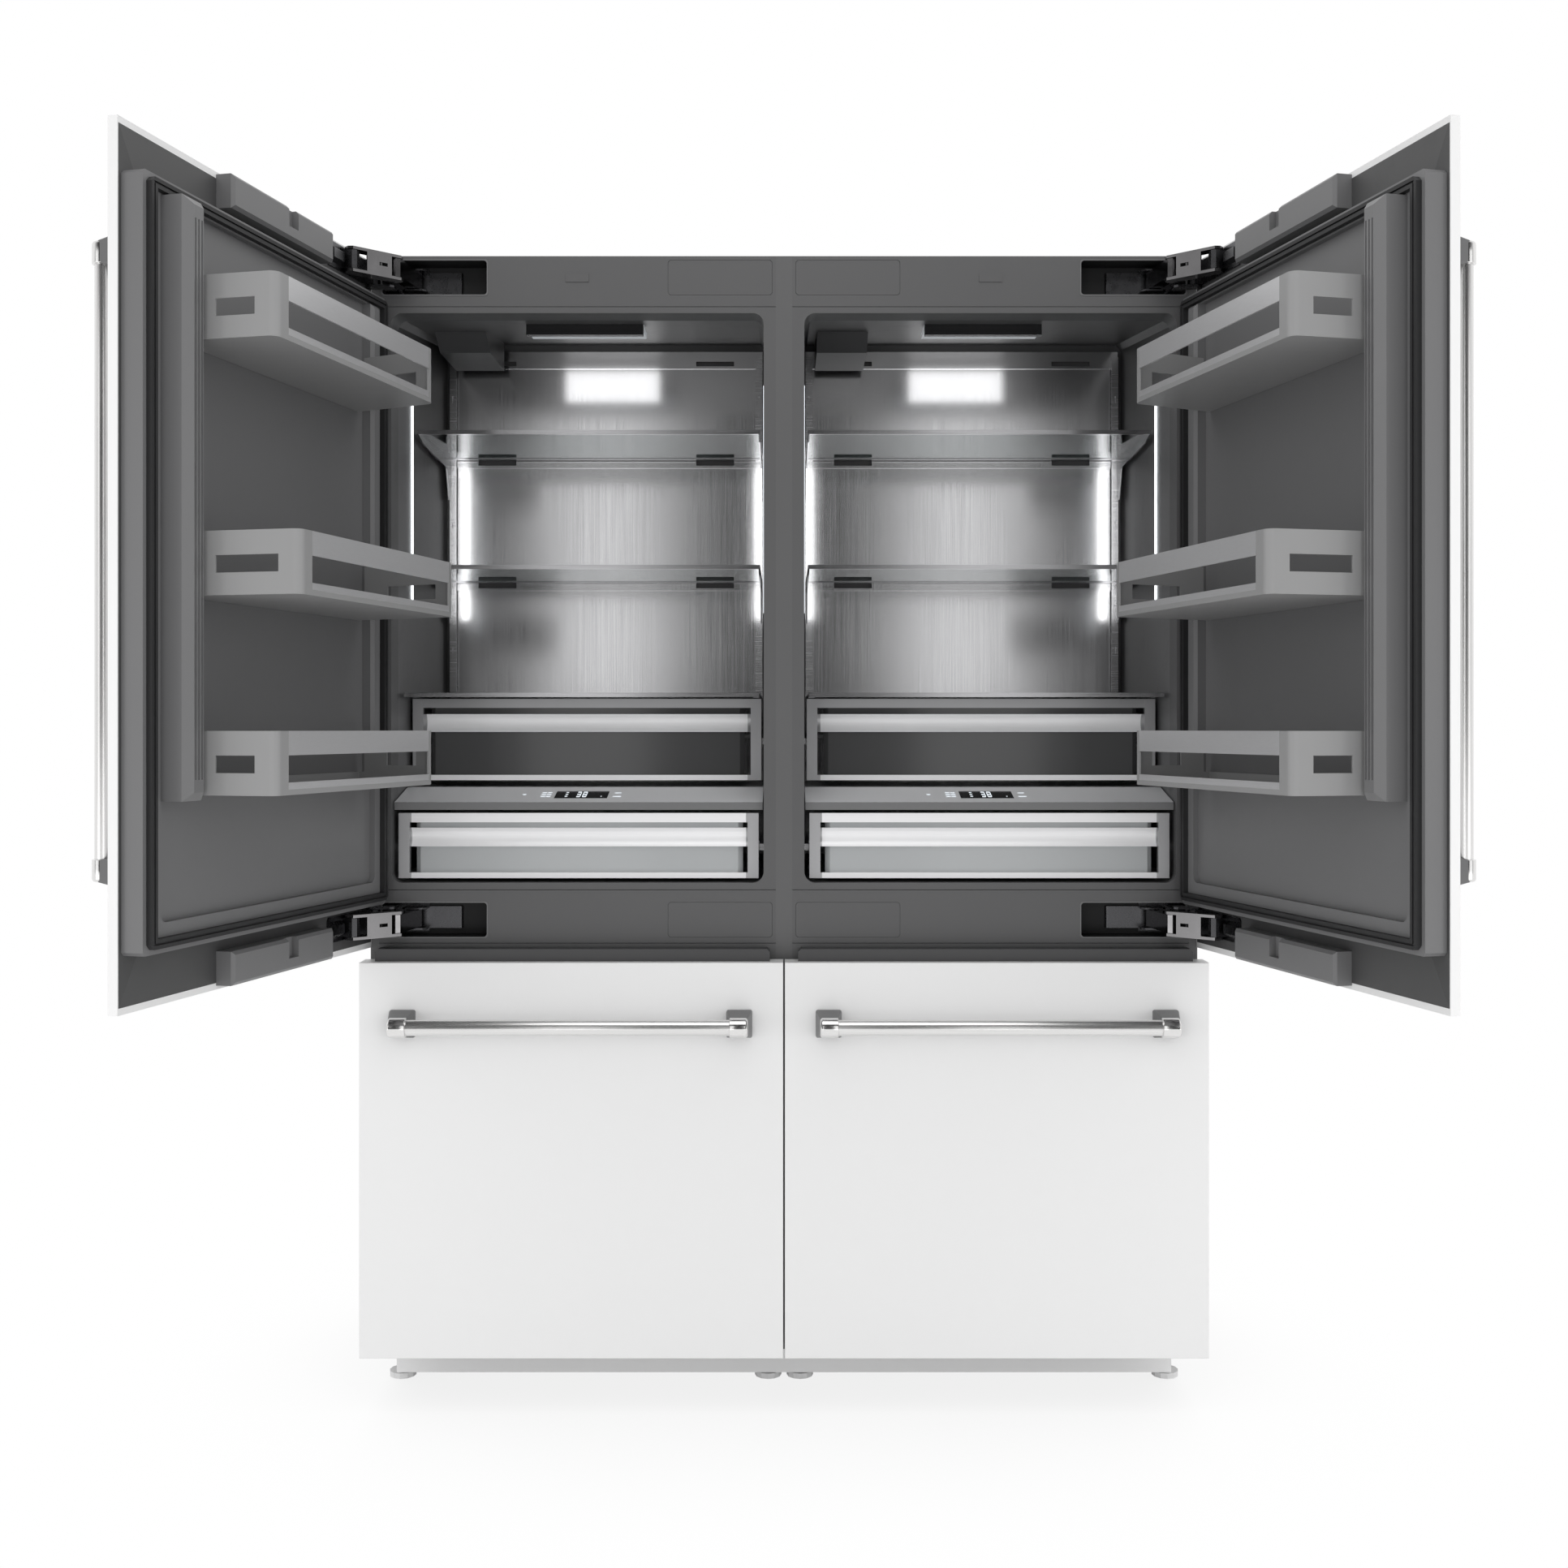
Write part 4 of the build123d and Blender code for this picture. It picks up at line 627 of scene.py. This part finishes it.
def glassy_finishes():
    """Glass, clear plastics and the lit signs, by a short name."""
    finish = settings().finishes
    rows = {
        "glass": ("Shelf glass", {"Base_Color": (0.22, 0.25, 0.25, 1.0), "Roughness": 0.03, "IOR": 1.3,
                                  "Transmission_Weight": 1.0}),
        "tub": ("Frosted clear plastic", {"Base_Color": rgba(finish.clear_tint), "Roughness": 0.16,
                                          "IOR": 1.46, "Transmission_Weight": 0.25}),
        "smoked": ("Smoked plastic", {"Base_Color": rgba(finish.smoke_tint), "Roughness": 0.12, "IOR": 1.46,
                                      "Transmission_Weight": 0.2}),
        "black": ("Black glass", {"Base_Color": (0.004, 0.004, 0.005, 1.0), "Roughness": 0.08}),
        "sign": ("Lit sign", {"Base_Color": (0.9, 0.95, 1.0, 1.0), "Roughness": 0.5,
                              "Emission_Color": (0.9, 0.96, 1.0, 1.0), "Emission_Strength": 0.55}),
    }
    return {short: plain_material(name, **sockets)[0] for short, (name, sockets) in rows.items()}


def lamp_finish():
    """Diffusers of the lamps: lit ones in the walls and, above a level, dim ones in the ceiling."""
    white = rgba(settings().finishes.lamp_white)
    material, tree, shader = plain_material("Lit diffuser", Base_Color=white, Roughness=0.5,
                                            Emission_Strength=settings().studio.lamp_strength)
    ceiling = beyond(tree, object_axes(tree)["Z"], CEILING_LEVEL, 0.01)
    tree.links.new(mix_colour(tree, ceiling, white, rgba(CEILING_GLOW)), shader.inputs["Emission Color"])
    return material


def crisper_finish(brushed):
    """Fronts of the crispers: bright brushed steel, with painted shade as a darker, more metallic band along
    the top of the upper fronts and at the ends of all four."""
    finish = settings().finishes
    material, tree, shader = plain_material("Crisper steel", Roughness=0.34)
    steel = put(tree, "Group", {"Colour": rgba(finish.front_steel), "Stretch": (5.0, 900.0, 900.0),
                                "Roughness": 0.34, "Contrast": 0.12}, node_tree=brushed)
    place = object_axes(tree)
    low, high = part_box("upper_crisper_front_left")
    top = beyond(tree, place["Z"], high[2] - CRISPER_TOP_SHADE, 0.0005)
    away = maths(tree, "SUBTRACT", maths(tree, "ABSOLUTE", place["X"]), -(low[0] + high[0]) / 2)
    away = maths(tree, "ABSOLUTE", away)
    end_shade = beyond(tree, away, (high[0] - low[0]) / 2 - CRISPER_END_SHADE, 0.0005)
    # Painted shade: the top band and the end bands take the darker shelf steel and more metal.
    plated = either(tree, top, end_shade)
    feed(tree, shader, {
        "Base Color": mix_colour(tree, plated, steel.outputs["Colour"], rgba(finish.shelf_steel)),
        "Roughness": steel.outputs["Roughness"],
        "Metallic": maths(tree, "MULTIPLY_ADD", plated, SHADE_BAND_METAL - FRONT_METAL, FRONT_METAL)})
    return material


FINISH = {}


def dress(**names_by_finish):
    """Gives CAD nodes their materials, by each material's short name."""
    for finish, names in names_by_finish.items():
        for name in names:
            NODES[name].material_slots[0].material = FINISH[finish]


def both(*names):
    """Node names on both sides."""
    return [f"{name}_{side}" for name in names for side in SIDES]


class ColumnOperator:
    """What all operators here share."""
    bl_options = {"REGISTER", "UNDO"}


class FRIDGE_OT_finishes(ColumnOperator, Operator):
    """Make every material"""
    bl_idname = "fridge.finishes"
    bl_label = "Finishes"

    def execute(self, context):
        FINISH.update(make_finishes())
        return {"FINISHED"}


class FRIDGE_OT_cabinet(ColumnOperator, Operator):
    """Finish the case, the front frame, the base and the machine compartment, and build the pockets' rims,
    painted paler as a highlight, and black sheets inside the pockets as painted shade
    """
    bl_idname = "fridge.cabinet"
    bl_label = "Cabinet"

    def execute(self, context):
        dress(case=both("case"), foam=both("foam"), frame=both("front_frame"), rubber=["levelling_feet"],
              machine=["base_frame", "compressors"], plinth=["toe_grille"], galvanised=["rear_covers"])
        self.pocket_highlight_rims()
        return {"FINISHED"}

    def pocket_highlight_rims(self):
        """Thin raised rims round the hinge pockets in the front frame, painted paler than the frame as a
        painted highlight on the pockets' edges, and black sheets inside the pockets as painted shade.
        """
        sizes = settings().fittings
        leaf_low, leaf_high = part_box("hinge_leaf_left")
        corner = case_corner()
        across, up = (1, 0, 0), (0, 0, 1)
        rims, shade_linings = [], []
        for z in (leaf_low[2] + sizes.leaf_reach, leaf_high[2] - sizes.leaf_reach):
            x = corner[0] + sizes.pocket_in + sizes.pocket_w / 2
            rims.append(rim((x, corner[1] + sizes.rim_in, z), across, up, sizes.pocket_w + 2 * sizes.rim_w,
                            sizes.pocket_h + 2 * sizes.rim_w, sizes.pocket_r, sizes.rim_w, sizes.rim_t))
            shade_linings.append(cup((x, corner[1] + sizes.shade_lining_in, z), across, up,
                               sizes.pocket_w - sizes.shade_lining_gap, sizes.pocket_h - sizes.shade_lining_gap,
                               sizes.shade_lining_r, sizes.pocket_d - sizes.shade_lining_in - sizes.shade_lining_gap,
                               sizes.shade_lining_t))
        # Paler rims as painted highlight, black sheets in the pockets as painted shade.
        pair("pocket_highlight_rims", rims, FINISH["rim"], "cabinet")
        pair("pocket_shade_linings", shade_linings, FINISH["shade_lining"], "cabinet")


# Dashes of a display, each (across, up the slope, width, height) in metres from the display's middle.
ROWS = (-0.014, 0.0, 0.014)
LIT_DASHES = [(-0.028, y, 0.0050, 0.0050) for y in ROWS] + [(0.037, ROWS[0], 0.0020, 0.0040)]
FASCIA_DASHES = [(x, y, 0.0085, 0.0030) for x in (-0.071, -0.061) for y in ROWS]
FASCIA_DASHES += [(0.066, ROWS[0], 0.0150, 0.0030), (0.066, 0.012, 0.0120, 0.0025),
                  (-0.107, 0.0, 0.0070, 0.0030)]


class FRIDGE_OT_cavity(ColumnOperator, Operator):
    """Finish the cavities, with their shelves, lamps, runners and small housings, and build the display"""
    bl_idname = "fridge.cavity"
    bl_label = "Cavities"

    def execute(self, context):
        dress(liner=["cavity_liners", "filter_housings"], wall_steel=["steel_back_walls"],
              trim_steel=["shelf_tracks", "drawer_runners"], shelf_steel=["shelf_trims"],
              glass=["glass_shelves"], fascia=["control_fascias"], black=["display_windows"], lamp=["lamps"])
        self.display()
        return {"FINISHED"}

    def display(self):
        """Numbers and dashes on the sloping displays, each a thin bar that stands just proud of the glass."""
        sizes = settings().fittings
        low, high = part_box("control_fascias")
        u = np.array([1.0, 0.0, 0.0])
        v = np.array([0.0, math.cos(sizes.display_slope), math.sin(sizes.display_slope)])
        thick = sizes.mark_t
        for side, sign in SIDES.items():
            middle = np.array([sign * column_span()[0], low[1] + sizes.display_front,
                               high[2] - sizes.display_drop]) + sizes.mark_lift * np.cross(u, v)
            lit = []
            for number, x in ((3, -sizes.digit_side), (8, sizes.digit_side)):
                lit += digit(number, middle + x * u, u, v, sizes.digit_w, sizes.digit_h, sizes.digit_stroke,
                             thick)
            lit += dashes(middle, u, v, thick, LIT_DASHES)
            piece(f"display_numbers_{side}", lit, FINISH["sign"], "cabinet")
            marks = dashes(middle, u, v, thick, FASCIA_DASHES)
            piece(f"fascia_marks_{side}", marks, FINISH["sign"], "cabinet")


class FRIDGE_OT_crispers(ColumnOperator, Operator):
    """Finish the smoked and the clear crispers and their steel fronts"""
    bl_idname = "fridge.crispers"
    bl_label = "Crispers"

    def execute(self, context):
        dress(smoked=both("upper_crisper"), tub=both("lower_crisper"),
              crisper_steel=both("upper_crisper_front", "lower_crisper_front"))
        return {"FINISHED"}


def backing_foil(middle, across, width, tall):
    """Thin foil on the back of a panel, drawn in from the panel's ends and its long edges."""
    sizes = settings().fittings
    return slab(middle, (0, 0, 1), across, tall - 2 * sizes.backing_in, width - 2 * sizes.backing_side,
                sizes.backing_t, sizes.backing_t, sizes.backing_t / 4)


class FRIDGE_OT_doors(ColumnOperator, Operator):
    """Finish the doors and put the dark foil on the back of their panels"""
    bl_idname = "fridge.doors"
    bl_label = "Doors"

    def execute(self, context):
        dress(panel=both("door_panel"), door=both("door_body"), seal=both("door_gasket"),
              bin=both("door_bins"), rail_steel=both("bin_rails"))
        low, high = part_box("door_panel_left")
        along, _ = door_axes()
        sunk = settings().fittings.backing_t / 4
        middle = door_point(panel_width() / 2, -sunk, (low[2] + high[2]) / 2)
        foil = backing_foil(middle, along, panel_width(), high[2] - low[2])
        pair("door_backing", [foil], FINISH["backing"], "door_{side}")
        return {"FINISHED"}


class FRIDGE_OT_drawers(ColumnOperator, Operator):
    """Finish the freezer drawers with their baskets and trays, and put the dark foil on their panels"""
    bl_idname = "fridge.drawers"
    bl_label = "Freezer drawers"

    def execute(self, context):
        dress(panel=both("drawer_panel"), drawer_inner=both("drawer_body"), seal=both("drawer_gasket"),
              freezer=both("freezer_basket", "freezer_tray"))
        low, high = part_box("drawer_panel_left")
        sunk = settings().fittings.backing_t / 4
        middle = ((low[0] + high[0]) / 2, high[1] - sunk, (low[2] + high[2]) / 2)
        foil = backing_foil(middle, (1, 0, 0), panel_width(), high[2] - low[2])
        pair("drawer_backing", [foil], FINISH["backing"], "drawer_{side}")
        return {"FINISHED"}


class FRIDGE_OT_handles(ColumnOperator, Operator):
    """Build the bar handles, which stand for the plain ones of the frame"""
    bl_idname = "fridge.handles"
    bl_label = "Handles"

    def execute(self, context):
        sizes = settings().fittings
        _, inward = door_axes()
        low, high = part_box("door_handle_left")
        at = door_point(panel_width() - sizes.door_bar_in, -sizes.panel_t - sizes.bar_reach,
                        (low[2] + high[2]) / 2)
        self.build("door", at, (0.0, 0.0, 1.0), -inward, high[2] - low[2], "handle_upright")
        low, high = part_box("drawer_handle_left")
        at = np.array([(low[0] + high[0]) / 2, high[1] - sizes.bar_reach, (low[2] + high[2]) / 2])
        self.build("drawer", at, (1.0, 0.0, 0.0), (0.0, -1.0, 0.0), high[0] - low[0], "handle_across")
        return {"FINISHED"}

    def build(self, kind, at, along, out, span, finish):
        """The bar, the sleeves and the posts of one kind of handle, for the CAD handle on each side."""
        bar, sleeves, posts = handle_parts(at, along, out, span)
        bars = pair(f"{kind}_handle_bar", [bar], FINISH[finish], kind + "_{side}")
        pair(f"{kind}_handle_sleeves", sleeves, FINISH["sleeve"], kind + "_{side}")
        pair(f"{kind}_handle_posts", posts, FINISH["post"], kind + "_{side}")
        for thing, side in zip(bars, SIDES):
            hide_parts(f"{kind}_handle_{side}")


class FRIDGE_OT_hinges(ColumnOperator, Operator):
    """Finish the folding hinges"""
    bl_idname = "fridge.hinges"
    bl_label = "Hinges"

    def execute(self, context):
        dress(hinge=both("hinge_arm", "hinge_link"), dark_metal=both("hinge_leaf") + ["hinge_brackets"])
        return {"FINISHED"}


# Lamps and cards of the studio: places and sizes in metres, turns in degrees.
BEHIND_LENS = 0.2
STRIP_AT, STRIP_SIZE = (0.775, 1.35), (0.5, 2.8)
WASH_AT, WASH_SIZE, WASH_NEARER, WASH_TURN = (2.7, 1.4), (1.1, 2.4), 1.2, 50
DUCT_AHEAD, DUCT_DOWN, DUCT_SIZE = 0.125, 0.047, (0.205, 0.068)
WALL_AHEAD, WALL_IN, WALL_HEIGHT, WALL_SIZE = 0.12, 0.008, 1.64, (0.018, 0.36)
TOP_AHEAD, TOP_HEIGHT, TOP_TURN, TOP_SIZE = 1.3, 3.3, 20, (3.2, 1.6)


class FRIDGE_OT_studio(ColumnOperator, Operator):
    """Set up the floor, the room light, the softboxes, the cards and the camera"""
    bl_idname = "fridge.studio"
    bl_label = "Studio"

    def execute(self, context):
        studio = settings().studio
        scene = context.scene
        scene.view_settings.view_transform = "Standard"
        front = case_corner()[1]
        scene.camera = make_camera(studio, front)
        make_floor(studio.floor_radius)
        make_room(scene, studio.room_level, studio.front_level)
        for sign in (-1, 1):
            front_lamps(studio, sign, front - studio.camera_distance - BEHIND_LENS)
            wall_cards(studio, sign)
        softbox("Overhead", (0.0, front - TOP_AHEAD, TOP_HEIGHT), (TOP_TURN, 0, 0), TOP_SIZE, studio.top_glow,
                card=True)
        return {"FINISHED"}


def make_camera(studio, front):
    """Camera that looks level at the front of the case."""
    camera = bpy.data.cameras.new("Camera")
    camera.lens = studio.lens
    camera.sensor_width = 36.0
    camera.shift_y = studio.frame_rise
    camera.clip_end = 60.0
    eye = bpy.data.objects.new("Camera", camera)
    eye.location = (0.0, front - studio.camera_distance, studio.camera_height)
    eye.rotation_euler = (math.radians(90), 0.0, 0.0)
    bpy.context.scene.collection.objects.link(eye)
    return eye


def front_lamps(studio, sign, depth):
    """A tall strip behind the camera and a wash from the side, on one side of it."""
    x, z = STRIP_AT
    softbox(f"Front strip {sign}", (sign * x, depth, z), (90, 0, 0), STRIP_SIZE, studio.strip_glow)
    x, z = WASH_AT
    softbox(f"Side wash {sign}", (sign * x, depth + WASH_NEARER, z), (90, 0, sign * WASH_TURN), WASH_SIZE,
            studio.wash_glow)


def wall_cards(studio, sign):
    """Cards that one column's steel wall mirrors: a wide one before its top and a narrow one at each side."""
    low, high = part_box("steel_back_walls")
    middle, half = column_span()
    place = (sign * middle, low[1] - DUCT_AHEAD, high[2] - DUCT_DOWN)
    softbox(f"Duct glow {sign}", place, (90, 0, 0), DUCT_SIZE, studio.duct_glow, card=True)
    for edge in (-1, 1):
        place = (sign * middle + edge * (half - WALL_IN), low[1] - WALL_AHEAD, WALL_HEIGHT)
        softbox(f"Wall glow {sign} {edge}", place, (90, 0, 0), WALL_SIZE, studio.wall_glow, card=True)


def softbox(name, at, turn, size, glow, card=False):
    """Rectangular lamp that shines along its own -z, turned in degrees. Its power is radiance times pi times
    area. A card is seen only in gloss and metal, and lights nothing else."""
    lamp = bpy.data.lights.new(name, "AREA")
    lamp.shape = "RECTANGLE"
    lamp.size, lamp.size_y = size
    lamp.energy = glow * math.pi * size[0] * size[1]
    thing = bpy.data.objects.new(name, lamp)
    thing.location = at
    thing.rotation_euler = [math.radians(angle) for angle in turn]
    thing.visible_camera = False
    thing.visible_transmission = False
    thing.visible_diffuse = not card
    bpy.context.scene.collection.objects.link(thing)


# The floor and the room: how the light falls off on the floor near the object, and where the room that metal
# sees turns from dark to white.
FLOOR_RING, FLOOR_STEPS = 0.4, 96
SHADOW_REACH = 1.1
SHADOW_SPAN = (0.1, 0.85)
SHADOW_TONE = 0.86
ROOM_SPAN = (-0.75, 0.05)


def make_floor(radius):
    """Round pale floor, turned from one flat radius. It is white where it is seen, times how much of the even
    room light the object leaves it, and an ordinary pale floor for the rays that light things."""
    profile = [(0.0, 0.0), (radius * FLOOR_RING, 0.0), (radius, 0.0)]
    points, faces = turned(profile, (0, 0, 0), (0, 0, 1), FLOOR_STEPS)
    mesh = bpy.data.meshes.new("Floor")
    mesh.from_pydata(points.tolist(), [], faces.tolist())
    material, tree, shader = plain_material("Floor", Base_Color=(0.9, 0.9, 0.9, 1), Roughness=0.8,
                                            Specular_IOR_Level=0.1)
    path = put(tree, "LightPath").outputs
    seen = either(tree, either(tree, path["Is Camera Ray"], path["Is Glossy Ray"]),
                  path["Is Transmission Ray"])
    sky = put(tree, "AmbientOcclusion", {"Distance": SHADOW_REACH}, samples=12).outputs["AO"]
    shade = ramp(tree, sky, *SHADOW_SPAN, SHADOW_TONE, 1.0, interpolation_type="SMOOTHSTEP")
    glow = put(tree, "Emission", {"Color": (1, 1, 1, 1), "Strength": shade})
    blend = put(tree, "MixShader", {0: seen, 1: shader.outputs[0], 2: glow.outputs[0]})
    tree.links.new(blend.outputs[0], tree.nodes["Material Output"].inputs["Surface"])
    mesh.materials.append(material)
    floor = bpy.data.objects.new("Floor", mesh)
    bpy.context.scene.collection.objects.link(floor)


def make_room(scene, level, front):
    """Even room light. It is white where it is seen, but metal sees a darker room on the camera's side: from
    white behind the object to that level in front, by how far the direction points back."""
    world = bpy.data.worlds.new("Room")
    world.use_nodes = True
    scene.world = world
    tree = world.node_tree
    shader = tree.nodes["Background"]
    shader.inputs["Color"].default_value = (1, 1, 1, 1)
    path = put(tree, "LightPath").outputs
    way = put(tree, "TexCoord").outputs["Generated"]
    back = put(tree, "SeparateXYZ", {"Vector": way}).outputs["Y"]
    room = ramp(tree, back, *ROOM_SPAN, front, 1.0, interpolation_type="SMOOTHSTEP")
    seen = either(tree, path["Is Camera Ray"], path["Is Transmission Ray"])
    lit = ramp(tree, seen, 0.0, 1.0, level)
    strength = put(tree, "Mix", {0: path["Is Glossy Ray"], 2: lit, 3: room}, data_type="FLOAT")
    tree.links.new(strength.outputs[0], shader.inputs["Strength"])


# ---- panel and registration --------------------------------------------------------------------

STEPS = (FRIDGE_OT_finishes, FRIDGE_OT_studio, FRIDGE_OT_cabinet, FRIDGE_OT_cavity, FRIDGE_OT_crispers,
         FRIDGE_OT_doors, FRIDGE_OT_drawers, FRIDGE_OT_handles, FRIDGE_OT_hinges)


class ColumnSettings(PropertyGroup):
    """All settings of the refrigerator columns."""
    finishes: PointerProperty(type=FinishSettings, name="Finishes", description="Colours of the pieces")
    studio: PointerProperty(type=StudioSettings, name="Studio", description="Camera, lamps and floor")
    fittings: PointerProperty(type=FittingSettings, name="Fittings",
                              description="Sizes of the small fittings")


class FRIDGE_PT_columns(Panel):
    """Lists the settings and the steps"""
    bl_label = "Refrigerator columns"
    bl_idname = "FRIDGE_PT_columns"
    bl_space_type = "VIEW_3D"
    bl_region_type = "UI"
    bl_category = "Columns"

    def draw(self, context):
        for step in STEPS:
            self.layout.operator(step.bl_idname)
        for group in (settings().finishes, settings().studio, settings().fittings):
            box = self.layout.box()
            for name in group.__annotations__:
                box.prop(group, name)


CLASSES = (FinishSettings, StudioSettings, FittingSettings, ColumnSettings, *STEPS, FRIDGE_PT_columns)


def register():
    for cls in CLASSES:
        bpy.utils.register_class(cls)
    bpy.types.Scene.fridge_columns = PointerProperty(type=ColumnSettings)


def unregister():
    del bpy.types.Scene.fridge_columns
    for cls in reversed(CLASSES):
        bpy.utils.unregister_class(cls)


def main():
    """Registers the add-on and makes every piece."""
    register()
    for step in STEPS:
        prefix, name = step.bl_idname.split(".")
        getattr(getattr(bpy.ops, prefix), name)()


if __name__ == "__main__":
    main()
